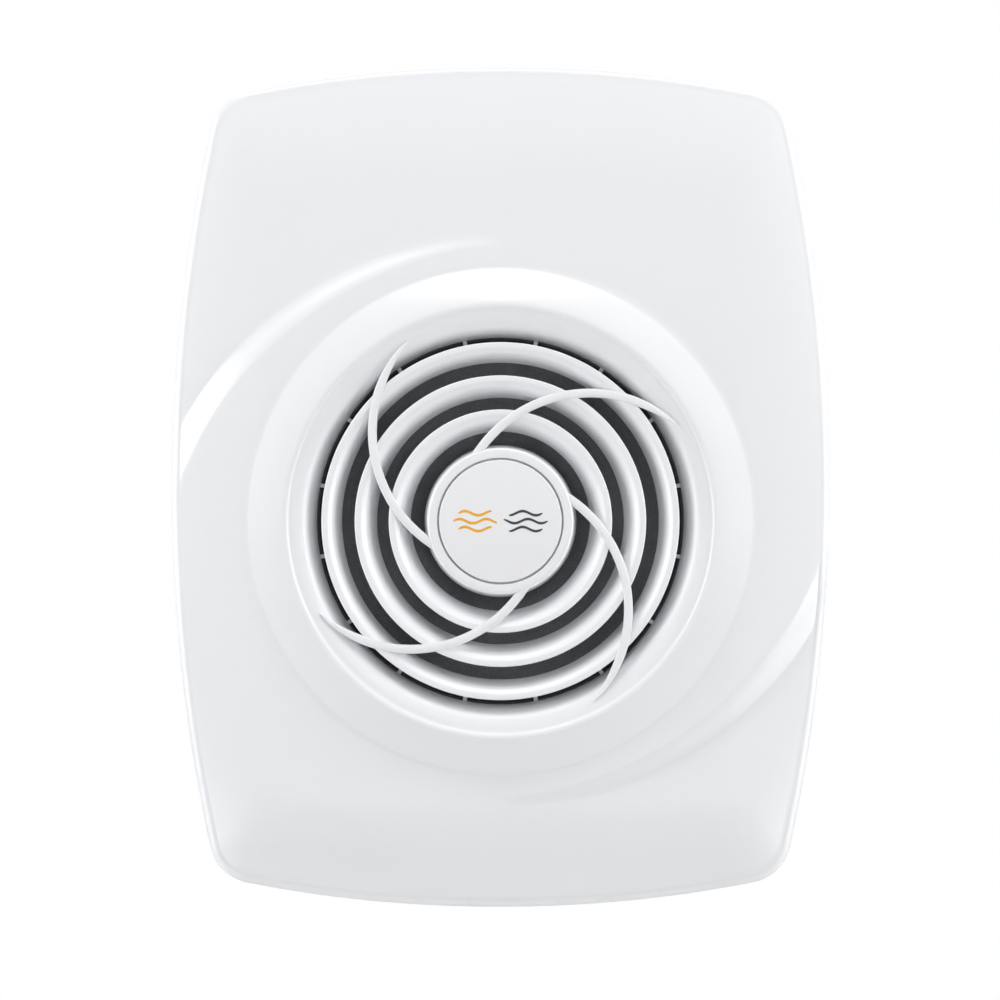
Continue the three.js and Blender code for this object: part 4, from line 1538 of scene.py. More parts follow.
# ---------------------------------------------------------------------------------------------
# Wall plate
# ---------------------------------------------------------------------------------------------
@dataclass
class WallPlate:
    """Plate on the wall with its rim, pillars, ribs, duct collar, foam seal and screws."""

    outline: CoverOutline = field(default_factory=CoverOutline)
    inset: float = 5.0
    wall: float = 2.0
    base: float = 3.0
    rim_front: float = -16.0
    duct_hole: float = 72.5
    collar: tuple[float, float] = (69.7, 72.2)
    collar_back: float = 18.0
    seal: tuple[float, float] = (80.0, 86.0)
    seal_depth: float = 1.5
    pillar: tuple[float, float] = (72.7, 42.0)
    pillar_bore: float = 2.2
    pillar_radius: float = 4.6
    pillar_front: float = -13.9
    cable_entry: tuple[Point, Point] = ((-57, -33), (98, 112))
    air_outlet: tuple[Point, Point] = ((-64, 64), (-150, -134))
    ribs_at: tuple[float, ...] = (-60, -30, 0, 30, 60)
    screws: tuple[Point, ...] = ((-98, 122), (98, 122), (-98, -98), (98, -98))

    def pillars(self) -> list[Point]:
        """X and Z of the four pillars."""
        x, z = self.pillar
        return [(-x, z), (x, z), (-x, -z), (x, -z)]

    def build(self) -> None:
        """Makes the plate and what is fixed to it."""
        through = (-10, 10)
        tools = [block((x - 2.8, x + 2.8), through, (z - 6, z + 6), 2.7, 0) for x, z in self.screws]
        tools += [rod(x, z, self.pillar_bore, -15, -2, 0.1) for x, z in self.pillars()]
        wide, high = self.cable_entry
        tools.append(block(wide, through, high, 1.5, 0))
        wide, high = self.air_outlet
        tools.append(block(wide, (-18, -self.base - 0.01), high, 1.0, 0))
        inner, outer = self.seal
        tools.append(tube(inner - 0.3, outer + 0.3, -self.seal_depth - 0.3, 1, 0.05))
        post = tube(self.pillar_bore, self.pillar_radius, self.pillar_front, -2.6, 0.4, 40)
        posts = [post.moved(x, 0, z) for x, z in self.pillars()]
        mesh = merged("wall_plate", [carved("wall_plate", self.tray(), tools), *posts, self.ribs()])
        place("wall_plate", mesh, Finish.MATT_WHITE, "matt_white")
        collar = tube(*self.collar, -self.base, self.collar_back, 0.7, 192)
        place("duct_collar", collar, Finish.MATT_WHITE, "matt_white")
        seal = tube(inner, outer, -self.seal_depth, 0, 0.35, 192)
        place("wall_seal", seal, Finish.RUBBER, "rubber")
        Screw(4.6, 2.3, 2.4, 34).fit("wall_screw", self.screws, -self.base - 0.3)

    def tray(self) -> Solid:
        """Plate with its upright rim and the duct hole.

        Returns:
            A skin from the back, over the rim, to the hole.
        """
        a, b, front, face = self.inset, self.inset + self.wall, self.rim_front, -self.base
        section = [
            (a + 0.3, 0.0), (a, -0.3), (a, front + 0.5), (a + 0.15, front + 0.15), (a + 0.5, front),
            (b - 0.5, front), (b - 0.15, front + 0.15), (b, front + 0.5), (b, face - 1),
            (b + 0.3, face - 0.3), (b + 1, face),
        ]
        hole = self.duct_hole
        mouth = [(hole + 0.4, face), (hole, face + 0.4), (hole, -0.3), (hole + 0.3, 0.0)]
        rim = self.outline.loop(0)
        unit = rim / np.linalg.norm(rim, axis=1, keepdims=True)
        rows = [loop_row(self.outline.loop(inset), y) for inset, y in section]
        return skin(rows + [loop_row(unit * radius, y) for radius, y in mouth])

    def ribs(self) -> Solid:
        """Low stiffening ribs on the plate, clear of the fan section and the control box."""
        ends = ((-108, -78), (78, 108))
        spots = [(x, z) for x in ends for z in self.ribs_at]
        return joined(block(x, (-4.2, -2.8), (z - 0.6, z + 0.6), 0, 0.2) for x, z in spots)


# ---------------------------------------------------------------------------------------------
# Fan section
# ---------------------------------------------------------------------------------------------
@dataclass
class FanSection:
    """Air guide, fan housing, inlet, filter and the extract fan."""

    places: Sequence[Point]
    guide: tuple[float, float, float] = (68.0, 62.0, -132.0)
    guide_depth: Point = (-13.7, -3.3)
    port: tuple[float, float] = (63.0, 6.0)
    housing: float = 72.0
    housing_depth: Point = (-34.0, -14.3)
    wall: float = 2.8
    inlet: tuple[float, float] = (45.0, -36.8)
    motor: float = 24.0
    rotor: float = 21.0
    wheel: float = 61.0
    blades: int = 36

    def build(self, repeats: Repeats) -> None:
        """Makes every piece of the section."""
        self.make_guide()
        self.make_housing()
        self.make_filter()
        self.make_fan(repeats)

    def make_guide(self) -> None:
        """Channel that leads supply air down to the cover's slots."""
        radius, half, bottom = self.guide
        front, back = self.guide_depth
        outline = [(half, bottom), *arc(0, 0, radius, 0, 180, 96), (-half, bottom)]
        body = extruded(outline, front, back, 0.6)
        foot, head, end = half - 2.4, radius - 2.56, bottom - 1
        channel = [(-foot, end), (foot, end), (head, -3.5), (-head, -3.5)]
        hollow = extruded(channel, front + 2, back - 1)
        mesh = carved("air_guide", body, [hollow, extruded(cap(*self.port), -15, -2)])
        place("air_guide", mesh, Finish.MATT_WHITE, "matt_white")

    def make_housing(self) -> None:
        """Cup round the extract fan, with four ears and the bellmouth in front."""
        r, inner = self.housing, self.housing - self.wall
        front, back = self.housing_depth
        floor = back - 1.7
        cup = turned_part([
            (0, back, 0), (r, back, 0.8), (r, front, 0.6), (inner, front, 0.4), (inner, floor, 1.2),
            (0, floor, 0),
        ], 192)
        port = extruded(cap(*self.port, inner=27), -18, -13)
        ear = block((r - 3, 91), (floor, back), (-5.5, 5.5), 4.0, 0.35)
        ears = joined(ear.turned(-math.atan2(z, x)) for x, z in self.places)
        screws = [rod(x, z, 2.3, -20, -10, 0.1) for x, z in self.places]
        mesh = merged("fan_housing", [carved("cup", cup, [port]), carved("ears", ears, screws)])
        place("fan_housing", mesh, Finish.DARK, "dark_plastic")
        mouth, y = self.inlet
        bell = turned_part([
            (r, y, 0.5), (r, y + 2.5, 0.2), (mouth + 4, y + 2.5, 0.5), (mouth, y + 3.6, 0.5),
            (mouth + 1.5, y, 2.6),
        ], 192)
        place("inlet_ring", bell, Finish.DARK, "dark_plastic")
        Screw(4, 1.9, 2.3, 9).fit("housing_screw", self.places, floor - 0.3)

    def make_filter(self) -> None:
        """Filter pad in its frame. The pad's dark colour is painted shade for the shaded depth seen through
        the grille's gaps.
        """
        depth = (-38.05, -37.15)
        bar = block((-69.5, 69.5), depth, (-1.5, 1.5), 0, 0.2)
        rim = tube(self.housing - 3.5, self.housing, -41, -37.1, 0.5, 192)
        holder = joined([rim, tube(34, 35.6, *depth, 0.2), bar, bar.turned(math.pi / 2)])
        place("filter_frame", holder, Finish.DARK, "dark_plastic")
        # The pad's dark colour is painted shade: it stands in for the shaded depth behind the grille's
        # gaps.
        pad = rod(0, 0, 68.1, -41, -38.4, 0.7, 160)
        place("extract_filter", pad, Finish.FILTER_PAINTED_SHADE, "charcoal_foam")

    def make_fan(self, repeats: Repeats) -> None:
        """Motor, its turning cap and the backward-curved impeller."""
        flange, can, foot = self.motor, 15.5, -16.3
        motor = turned_part([
            (0, -28, 0), (1.5, -28, 0.3), (1.5, -27, 0), (can, -27, 1.2), (can, foot - 1.3, 0.5),
            (flange, foot - 1.3, 0.4), (flange, foot, 0.2), (0, foot, 0),
        ], 96)
        place("extract_motor", motor, Finish.STEEL, "steel")
        outer, bore = self.rotor, 16.4
        cover = turned_part([
            (0, -30.5, 0), (outer, -30.5, 1.8), (outer, -19, 0.4), (bore, -19, 0.3),
            (bore, -28.5, 0.6), (0, -28.5, 0),
        ], 96)
        place("extract_rotor_cap", cover, Finish.BLACK, "dark_plastic", "extract_rotor")
        shroud = turned_part([
            (47, -31.2, 0.3), (46.9, -32.2, 0.3), (50, -32.6, 0.6), (self.wheel, -32.0, 0.3),
            (self.wheel, -31.2, 0.2),
        ])
        plate = tube(outer + 0.3, self.wheel, -19.6, -18.4, 0.4)
        blades = repeats.round(self.blade(), self.blades, Finish.DARK)
        mesh = merged("extract_impeller", [plate, shroud, blades])
        place("extract_impeller", mesh, Finish.DARK, "dark_plastic", "extract_rotor")

    @staticmethod
    def blade() -> Solid:
        """One backward-curved blade.

        Returns:
            The blade, thickest at the middle of its length.
        """
        front, back = [], []
        for t in np.linspace(0, 1, 13):
            radius, turn = 44.8 + 15.7 * t, -0.34 * t**0.8
            half = 0.35 + 0.35 * math.sin(math.pi * t)
            x, z = radius * math.cos(turn), radius * math.sin(turn)
            front.append((x, z + half))
            back.append((x, z - half))
        return extruded(back + front[::-1], -31.6, -19.2)


# ---------------------------------------------------------------------------------------------
# Control box
# ---------------------------------------------------------------------------------------------
class CableSweep:
    """Geometry node tree that gives a curve a round section."""

    def __init__(self) -> None:
        """Builds the tree."""
        self.tree = bpy.data.node_groups.new("cable_sweep", "GeometryNodeTree")
        face = self.tree.interface
        face.new_socket("Route", in_out="INPUT", socket_type="NodeSocketGeometry")
        self.radius = face.new_socket("Radius", in_out="INPUT", socket_type="NodeSocketFloat").identifier
        self.finish = face.new_socket("Finish", in_out="INPUT", socket_type="NodeSocketMaterial").identifier
        face.new_socket("Cable", in_out="OUTPUT", socket_type="NodeSocketGeometry")
        names = [
            "NodeGroupInput", "GeometryNodeResampleCurve", "GeometryNodeCurvePrimitiveCircle",
            "GeometryNodeCurveToMesh", "GeometryNodeRealizeInstances", "GeometryNodeSetMaterial",
            "NodeGroupOutput",
        ]
        given, even, circle, swept, real, dressed, out = map(self.tree.nodes.new, names)
        even.inputs["Count"].default_value = 40
        circle.inputs["Resolution"].default_value = 20
        swept.inputs["Fill Caps"].default_value = True
        links = [
            (given.outputs["Route"], even.inputs["Curve"]),
            (given.outputs["Radius"], circle.inputs["Radius"]),
            (even.outputs["Curve"], swept.inputs["Curve"]),
            (circle.outputs["Curve"], swept.inputs["Profile Curve"]),
            (swept.outputs["Mesh"], real.inputs[0]),
            (real.outputs[0], dressed.inputs[0]),
            (given.outputs["Finish"], dressed.inputs["Material"]),
            (dressed.outputs[0], out.inputs[0]),
        ]
        for start, end in links:
            self.tree.links.new(start, end)

    def run(
        self, route: Sequence[Sequence[float]], radius: float, finish: Finish
    ) -> bpy.types.Mesh:
        """Sweeps a cable.

        Args:
            route: Points that it passes through, in millimetres.
            radius: Its radius in millimetres.
            finish: Its finish.

        Returns:
            A plain mesh.
        """
        curve = bpy.data.curves.new("route", "CURVE")
        curve.dimensions = "3D"
        spline = curve.splines.new("BEZIER")
        spline.bezier_points.add(len(route) - 1)
        for point, spot in zip(spline.bezier_points, route):
            point.co = [v * MM for v in spot]
            point.handle_left_type = point.handle_right_type = "AUTO"
        values = {self.radius: radius * MM, self.finish: material(finish)}
        return through_nodes(self.tree, curve, values)


@dataclass
class ControlBox:
    """Tray above the fan with the board, the mains terminals and the humidity setting."""

    half: float = 70.0
    bottom: float = 84.0
    top: float = 150.0
    front: float = -22.0
    floor: float = -5.3
    wall: float = 2.0
    cable_entry: tuple[Point, Point] = ((-57, -33), (98, 112))
    board: tuple[Point, Point] = ((-16, 66), (88, 146))
    board_front: float = -10.2
    module: tuple[Point, Point] = ((34, 60), (108, 136))
    fins: int = 7
    capacitor: Point = (20.0, 130.0)
    sensor: tuple[Point, Point] = ((50, 60), (91, 99))
    chips: int = 3
    pads: int = 12
    trim: Point = (10.0, 97.0)
    trim_half: float = 5.5
    terminals: tuple[float, ...] = (-56.5, -49, -41.5, -34)
    terminal_z: float = 134.5
    clamp_z: Point = (114.5, 121.5)
    cable: Point = (-45.0, -8.5)
    lead: tuple[tuple[float, float, float], ...] = (
        (32, -12.5, 87.5), (32, -12.5, 80), (31, -16, 76), (30, -24, 75.5),
    )
    lead_radius: float = 1.75
    lid_screws: tuple[Point, ...] = ((-64, 89.5), (-64, 144.5))
    clamp_screws: tuple[Point, ...] = ((-57, 118), (-33, 118))
    board_posts: tuple[Point, ...] = ((-12, 92), (62, 92), (-12, 142), (62, 142))

    def build(self, repeats: Repeats) -> None:
        """Makes every piece of the box."""
        self.make_tray()
        self.make_lid()
        self.make_board(repeats)
        self.make_parts(repeats)
        self.make_terminals()
        self.make_clamp()
        self.make_trim()
        lead = CableSweep().run(self.lead, self.lead_radius, Finish.BLACK)
        place("fan_lead", lead, Finish.BLACK, "black_plastic")
        Screw(3, 1.4, 1.8, 11).fit("lid_screw", self.lid_screws, self.front - 2.7)
        Screw(2.7, 1.2, 1.8, 5.2).fit("clamp_screw", self.clamp_screws, -11.3)

    def make_tray(self) -> None:
        """Tray with its posts for the board, the lid and the clamp."""
        h, b, t, f, wall = self.half, self.bottom, self.top, self.front, self.wall
        wide, high = self.cable_entry
        tools = [
            block((wall - h, h - wall), (f - 1, self.floor), (b + wall, t - wall), 2.0, 0),
            block(wide, (-10, 0), high, 1.0, 0),
            block((28, 36), (-16, -9), (b - 1, b + 3), 0, 0),
        ]
        posts = []
        kinds = [
            (1.2, 3.0, -8.0, self.board_posts),
            (1.7, 3.4, f, self.lid_screws),
            (1.6, 3.2, -8.2, self.clamp_screws),
        ]
        for bore, radius, end, places in kinds:
            post = tube(bore, radius, end, -5, 0.3, 32)
            posts += [post.moved(x, 0, z) for x, z in places]
        body = carved("control_tray", block((-h, h), (f, -3.3), (b, t), 3.0, 0.4), tools)
        mesh = merged("control_tray", [body, *posts])
        place("control_tray", mesh, Finish.MATT_WHITE, "matt_white")

    def make_lid(self) -> None:
        """Lid with its screw holes, the dial's hole and a row of grooves."""
        h, f, span = self.half, self.front, (self.front - 5, self.front + 1)
        holes = [rod(*self.trim, 5.5, *span, 0.1)]
        holes += [rod(x, z, 1.9, *span, 0.1) for x, z in self.lid_screws]
        groove = block((18, 62), (f - 3, f - 2.0), (-0.7, 0.7), 0.5, 0)
        grooves = [groove.moved(0, 0, z) for z in range(108, 141, 4)]
        plate = block((-h, h), (f - 2.4, f - 0.3), (self.bottom, self.top), 3.0, 0.7)
        lid = carved("control_lid", plate, holes + grooves)
        place("control_lid", lid, Finish.MATT_WHITE, "matt_white")

    def make_board(self, repeats: Repeats) -> None:
        """Board with its finned module and its capacitor."""
        f = self.board_front
        wide, high = self.board
        board = block(wide, (f + 0.3, -8.3), high, 1.5, 0.15)
        place("control_pcb", board, Finish.BOARD, "board_green")
        wide, high = self.module
        top = f - 8.2
        module = block(wide, (top, f), high, 1.0, 0.5)
        fin = block((-11.5, 11.5), (-0.6, 0.3), (-0.8, 0.8), 0, 0.2)
        first = (sum(wide) / 2, top, high[0] + 3.5)
        fins = repeats.row(fin, self.fins, first, (0, 0, 3.5), Finish.BLACK)
        mesh = merged("power_module", [module, fins])
        place("power_module", mesh, Finish.BLACK, "black_plastic")
        x, z = self.capacitor
        can = turned_part([
            (0, -20.5, 0), (5.3, -20.5, 0.5), (6, -19.6, 0.6), (6, f, 0.3), (0, f, 0),
        ], 48)
        place("storage_capacitor", can.moved(x, 0, z), Finish.BLUE, "blue_plastic")
        top_ring = tube(0.6, 4.6, -20.56, -20.4, 0.03, 48).moved(x, 0, z)
        place("capacitor_top", top_ring, Finish.STEEL)

    def make_parts(self, repeats: Repeats) -> None:
        """The board's humidity sensor and its rows of chips and pads."""
        f = self.board_front
        wide, high = self.sensor
        window = rod(sum(wide) / 2, sum(high) / 2, 2, -15, -12.5, 0.1)
        sensor = carved("humidity_sensor", block(wide, (f - 3.8, f), high, 0.8, 0.3), [window])
        place("humidity_sensor", sensor, Finish.MATT_WHITE, "matt_white")
        chip = block((-2.4, 2.4), (-1.2, 0.2), (-1.9, 1.9), 0.2, 0.2)
        chips = repeats.row(chip, self.chips, (30, f, 97), (8, 0, 0), Finish.BLACK)
        place("board_chips", chips, Finish.BLACK)
        pad = block((-0.5, 0.5), (-0.5, 0.2), (-1.0, 1.0), 0, 0.1)
        pads = repeats.row(pad, self.pads, (-10, f, 140), (3.1, 0, 0), Finish.STEEL)
        place("board_pads", pads, Finish.STEEL)

    def make_terminals(self) -> None:
        """Mains terminal block with its slotted screws."""
        z = self.terminal_z
        wells, screws = [], []
        for x in self.terminals:
            wells.append(rod(x, z, 2.2, -18, -10, 0.1))
            wells.append(block((x - 2.4, x + 2.4), (-13, -8), (125, 131), 0.3, 0))
            slot = block((x - 0.3, x + 0.3), (-14, -11.9), (z - 2.5, z + 2.5), 0, 0)
            screws.append(carved("terminal_screw", rod(x, z, 1.95, -12.5, -9.5, 0.2), [slot]))
        body = block((-62, -28), (-17, -5.6), (126, 139), 0.6, 0.5)
        place("terminal_block", carved("terminal_block", body, wells), Finish.TERMINAL, "terminal_grey")
        place("terminal_screws", merged("terminal_screws", screws), Finish.STEEL)

    def make_clamp(self) -> None:
        """Saddle that holds the mains cable below the terminals."""
        saddle = [
            block((-61, -29), (-11, -8.5), self.clamp_z, 1.5, 0.4),
            block((-51, -39), (-13.5, -9), self.clamp_z, 0.6, 0.9),
        ]
        tools = [along_z(rod(*self.cable, 4, 110, 125, 0.1))]
        tools += [rod(x, z, 1.6, -14, -7, 0.1) for x, z in self.clamp_screws]
        clamp = merged("cable_clamp", [carved("saddle", part, tools) for part in saddle])
        place("cable_clamp", clamp, Finish.DARK, "dark_plastic")

    def make_trim(self) -> None:
        """Turning dial on its square base."""
        (x, z), half = self.trim, self.trim_half
        base = block((x - half, x + half), (-14, self.board_front), (z - half, z + half), 0.6, 0.3)
        place("trim_base", base, Finish.BLUE, "blue_plastic")
        slots = [
            block((x - 3, x + 3), (-18, -16), (z - 0.5, z + 0.5), 0.2, 0),
            block((x + 1.4, x + 3), (-18, -16.5), (z - 1.2, z + 1.2), 0.2, 0),
        ]
        dial = carved("trim_dial", rod(x, z, 4, -17, -14.3, 0.4, 48), slots)
        place("trim_dial", dial, Finish.MATT_WHITE, "matt_white", "trimmer")


# ---------------------------------------------------------------------------------------------
# Wall duct
# ---------------------------------------------------------------------------------------------
@dataclass
class WallDuct:
    """Duct through the wall with the exchanger core, the supply fan, filter, drip tray and flap."""

    inner: float = 72.5
    outer: float = 75.0
    length: float = 300.0
    core: float = 48.0
    sheet: float = 0.7
    sheets: int = 32
    fan_axis: float = 34.5
    fan_half: float = 30.0
    fan_holes: float = 25.5
    strut_count: int = 4
    blade_count: int = 7
    fan_front: float = 262.0
    flap_y: float = 246.0
    flap_z: float = -5.0

    def build(self, repeats: Repeats) -> None:
        """Makes every piece in the duct."""
        pipe = tube(self.inner, self.outer, 0.3, self.length - 0.3, 0.6, 192)
        place("wall_duct", pipe, Finish.DUCT, "duct_plastic", sharp=40)
        self.make_core(repeats)
        self.make_dividers()
        self.make_supply_fan(repeats)
        self.make_rear()
        self.make_flap()

    def core_profile(self, inset: float) -> list[Point]:
        """Six-sided outline of the core.

        Args:
            inset: How far inside the core's faces the outline lies.

        Returns:
            The outline's corners.
        """
        high, tip, side = self.core - inset, 1.5 * inset, 0.7 * inset
        return [
            (60 + tip, 0), (110 + side, -high), (190 - side, -high), (240 - tip, 0),
            (190 - side, high), (110 + side, high),
        ]

    def make_core(self, repeats: Repeats) -> None:
        """Counterflow core of stacked sheets, and the foam cradles round it."""
        c, thin, count = self.core, self.sheet / 2, self.sheets
        body = along_x(extruded(self.core_profile(0.9), -c + 0.5, c - 0.5, 0.2))
        sheet = along_x(extruded(self.core_profile(0.0), -thin, thin, 0.1))
        step = (2 * c - self.sheet) / (count - 1)
        sheets = repeats.row(sheet, count, (-c + thin, 0, 0), (step, 0, 0), Finish.CORE)
        mesh = merged("exchanger_core", [body, sheets])
        place("exchanger_core", mesh, Finish.CORE, "core_plastic")
        notch = c + 0.3
        for name, side in (("core_cradle_top", 1), ("core_cradle_bottom", -1)):
            near, far = side * 0.2, side * notch
            bite = [(-notch, near), (-notch, far), (notch, far), (notch, near)]
            half = extruded(cap(self.inner - 0.3, 0.2, side) + bite, 110.3, 189.7, 0.8)
            place(name, half, Finish.EPP, "epp_foam")

    def make_dividers(self) -> None:
        """Foam walls that keep the two air streams apart."""
        front = block((-69, 69), (-2.9, 59.4), (-1.5, 1.5), 0.5, 0.3)
        place("front_divider", front, Finish.EPP, "epp_foam")
        y, z = self.flap_y, self.flap_z
        lugs = [block((x - 1.5, x + 1.5), (y - 3, y + 3), (z - 3, 0), 0.3, 0.4) for x in (-63.5, 63.5)]
        bore = along_x(rod(y, z, 1.5, -70, 70, 0.1))
        body = block((-71.5, 71.5), (240.6, 299.4), (-1.5, 1.5), 0.5, 0.3)
        mesh = merged("rear_divider", [body, carved("lugs", joined(lugs), [bore])])
        place("rear_divider", mesh, Finish.EPP, "epp_foam")

    def make_supply_fan(self, repeats: Repeats) -> None:
        """Square axial fan behind its bulkhead."""
        z, f, half = self.fan_axis, self.fan_front, self.fan_half
        back = f + 25
        sheet = extruded(cap(self.inner - 0.4, 1.8), 258, 261.7, 0.4)
        wall = carved("rear_bulkhead", sheet, [rod(0, z, 28, 250, 270, 0.1, 96)])
        place("rear_bulkhead", wall, Finish.MATT_WHITE, "matt_white")
        span, ends = (f - 1, back + 1), (-self.fan_holes, self.fan_holes)
        holes = [rod(0, z, 28.5, *span, 0.1, 96)]
        holes += [rod(x, z + dz, 2.1, *span, 0.1) for x in ends for dz in ends]
        body = carved("fan_body", square(half, (f, back), 3.5, 0.5, z), holes)
        strut = block((12, 29.2), (back - 3.8, back - 0.4), (-1.2, 1.2), 0, 0.4).turned(0.4)
        struts = repeats.round(strut, self.strut_count, Finish.DARK, (0, 0, z))
        motor = rod(0, z, 13, back - 4.2, back - 0.2, 0.5, 64)
        mesh = merged("supply_fan_frame", [body, motor, struts])
        place("supply_fan_frame", mesh, Finish.DARK, "dark_plastic")
        blades = repeats.round(self.fan_blade(), self.blade_count, Finish.BLACK, (0, 0, z))
        profile = [(0, f + 1, 0), (13, f + 1, 2.0), (13, f + 19.8, 0.4), (0, f + 19.8, 0)]
        hub = turned_part(profile, 64).moved(0, 0, z)
        mesh = merged("supply_impeller", [hub, blades])
        place("supply_impeller", mesh, Finish.BLACK, "dark_plastic", "supply_rotor")

    @staticmethod
    def fan_blade() -> Solid:
        """One twisted axial blade.

        Returns:
            A closed grid of two faces and the rim between them.
        """
        rows, wide = 11, 9
        sides: list[list[tuple[float, float, float]]] = [[], []]
        for i in range(rows):
            t = i / (rows - 1)
            radius, pitch, sweep = 12.0 + 15.4 * t, 0.95 - 0.35 * t, 0.16 * t
            for k in range(wide):
                s = k / (wide - 1) - 0.5
                along, thick = 15.5 * s * (1 - 0.12 * t), 0.55 * (1 - (1.9 * s) ** 2) + 0.12
                z, y = along * math.cos(pitch), 272 + along * math.sin(pitch)
                turn = z / radius + sweep
                for side, sign in zip(sides, (1, -1)):
                    side.append((radius * math.cos(turn), y + sign * thick, radius * math.sin(turn)))
        faces = []
        for side, shift in ((0, 0), (1, rows * wide)):
            for i in range(rows - 1):
                for k in range(wide - 1):
                    a = shift + i * wide + k
                    b = a + wide
                    faces.append((a, a + 1, b + 1, b) if side else (a, b, b + 1, a + 1))
        rim = list(range(wide)) + [i * wide + wide - 1 for i in range(1, rows)]
        rim += [(rows - 1) * wide + k for k in range(wide - 2, -1, -1)]
        rim += [i * wide for i in range(rows - 2, 0, -1)]
        shift = rows * wide
        for a, b in zip(rim, rim[1:] + rim[:1]):
            faces.append((a, b, b + shift, a + shift))
        return Solid(sides[0] + sides[1], faces)

    def make_rear(self) -> None:
        """Intake filter and the drip tray below."""
        pad = extruded(cap(self.inner - 0.5, 1.8), 289, 297, 0.8)
        place("intake_filter", pad, Finish.FILTER_GREY, "grey_foam")
        trays = []
        for start, end, y0, y1 in ((-125, -55, 192, self.length - 0.5), (-98, -82, 290, 315)):
            strip = arc(0, 0, 72.1, start, end, 40) + arc(0, 0, 70.4, end, start, 40)
            trays.append(extruded(strip, y0, y1, 0.3))
        place("drip_tray", joined(trays), Finish.MATT_WHITE, "matt_white")

    def make_flap(self) -> None:
        """Backdraught flap on its pin."""
        y, z = self.flap_y, self.flap_z
        plate = extruded(cap(68.8, 8.4, -1), y - 0.8, y + 0.8, 0.2)
        corner = (y - 2, y + 2), (-12.5, 0), 0, 0
        corners = [block((x - 10.5, x + 10.5), *corner) for x in (-69.5, 69.5)]
        parts: list[Any] = [carved("flap", plate, corners)]
        bore = along_x(rod(y, z, 1.6, -40, 40, 0.1))
        for x in (-25, 25):
            knuckle = along_x(rod(y, z, 2.9, x - 5, x + 5, 0.4))
            parts.append(carved("knuckle", knuckle, [bore]))
            parts.append(block((x - 5, x + 5), (y - 0.8, y + 0.8), (-10, z - 1.7), 0, 0.2))
        rib = (y + 0.5, y + 1.3), (-58, -14), 0, 0.2
        parts += [block((x - 0.6, x + 0.6), *rib) for x in (-30, 0, 30)]
        mesh = merged("exhaust_flap", parts)
        place("exhaust_flap", mesh, Finish.MATT_WHITE, "matt_white", "flap")
        pin = along_x(rod(y, z, 1.2, -67, 67, 0.3, 24))
        place("flap_pin", pin, Finish.STEEL, "steel")


# ---------------------------------------------------------------------------------------------
# Outdoor cowl
# ---------------------------------------------------------------------------------------------
@dataclass
class OutdoorCowl:
    """Hood with weather louvres, the insect mesh behind them and the gasket."""

    start: float = 300.0
    back: float = 336.0
    flange: float = 92.0
    hood: float = 80.0
    wall: float = 2.5
    screw: float = 86.0
    louvres: tuple[float, ...] = (-65, -48, -31, -14, 14, 31, 48, 65)

    def build(self, repeats: Repeats) -> None:
        """Makes the hood, its mesh, its gasket and its screws."""
        corners = [(x, z) for z in (self.screw, -self.screw) for x in (-self.screw, self.screw)]
        self.make_hood(repeats, corners)
        self.make_mesh(repeats)
        gasket = tube(79, 84, self.start, self.start + 1.4, 0.35, 192)
        place("cowl_gasket", gasket, Finish.RUBBER, "rubber")
        Screw(4, 1.9, 2.4, 30).fit("cowl_screw", corners, self.start + 3.8, True)

    def make_hood(self, repeats: Repeats, corners: Sequence[Point]) -> None:
        """Flange, hood, louvre slats and the divider."""
        s, h, inner, face = self.start, self.hood, self.hood - self.wall, self.back - 6
        opening = block((-68, 68), (-8, 8), (-4, 4), 0, 0).turned(-0.6, "X")
        tools = [square(inner, (s - 2, face), 5.5, 0)]
        tools += [opening.moved(0, self.back - 3, z) for z in self.louvres]
        tools.append(block((-12, 12), (s + 6, s + 18), (-h - 1, -inner + 1), 0, 0))
        hood = carved("hood", square(h, (s + 1, self.back), 8.0, 1.6), tools)
        holes = [rod(0, 0, 72.5, s - 1, s + 5, 0.1, 160), tube(78.7, 84.3, s - 1, s + 1.7, 0.05)]
        holes += [rod(x, z, 2.3, s - 1, s + 5, 0.1) for x, z in corners]
        plate = carved("flange", square(self.flange, (s, s + 3.5), 6.0, 0.8), holes)
        slat = block((-69, 69), (-6.2, 5.2), (-0.8, 0.8), 0, 0.3).turned(-0.6, "X")
        starts = [(0, face, z + 4.6) for z in (-65, 14)]
        slats = [repeats.row(slat, 4, start, (0, 0, 17), Finish.MATT_WHITE) for start in starts]
        divider = block((-inner - 0.5, inner + 0.5), (s + 3.5, face - 8.6), (-1.2, 1.2), 0, 0.3)
        mesh = merged("outer_cowl", [hood, plate, *slats, divider])
        place("outer_cowl", mesh, Finish.MATT_WHITE, "matt_white")

    def make_mesh(self, repeats: Repeats) -> None:
        """Woven wire mesh in a folded frame."""
        y0, y1, half, pitch = self.back - 14, self.back - 12.8, 77.0, 3.0
        rim = carved("rim", square(half, (y0, y1), 4, 0.3), [square(73, (y0 - 1, y1 + 1), 2, 0)])
        count = 49
        wire = rod(0, 0, 0.28, -74.5, 74.5, 0.05, 6)
        upright = wire.turned(math.pi / 2, "X")
        across = wire.turned(math.pi / 2, "Z")
        first = -pitch * (count - 1) / 2
        wires = [
            repeats.row(upright, count, (first, y0 + 0.45, 0), (pitch, 0, 0), Finish.STEEL),
            repeats.row(across, count, (0, y0 + 0.85, first), (0, 0, pitch), Finish.STEEL),
        ]
        mesh = merged("insect_mesh", [rim, *wires])
        place("insect_mesh", mesh, Finish.STEEL, "steel", sharp=50)


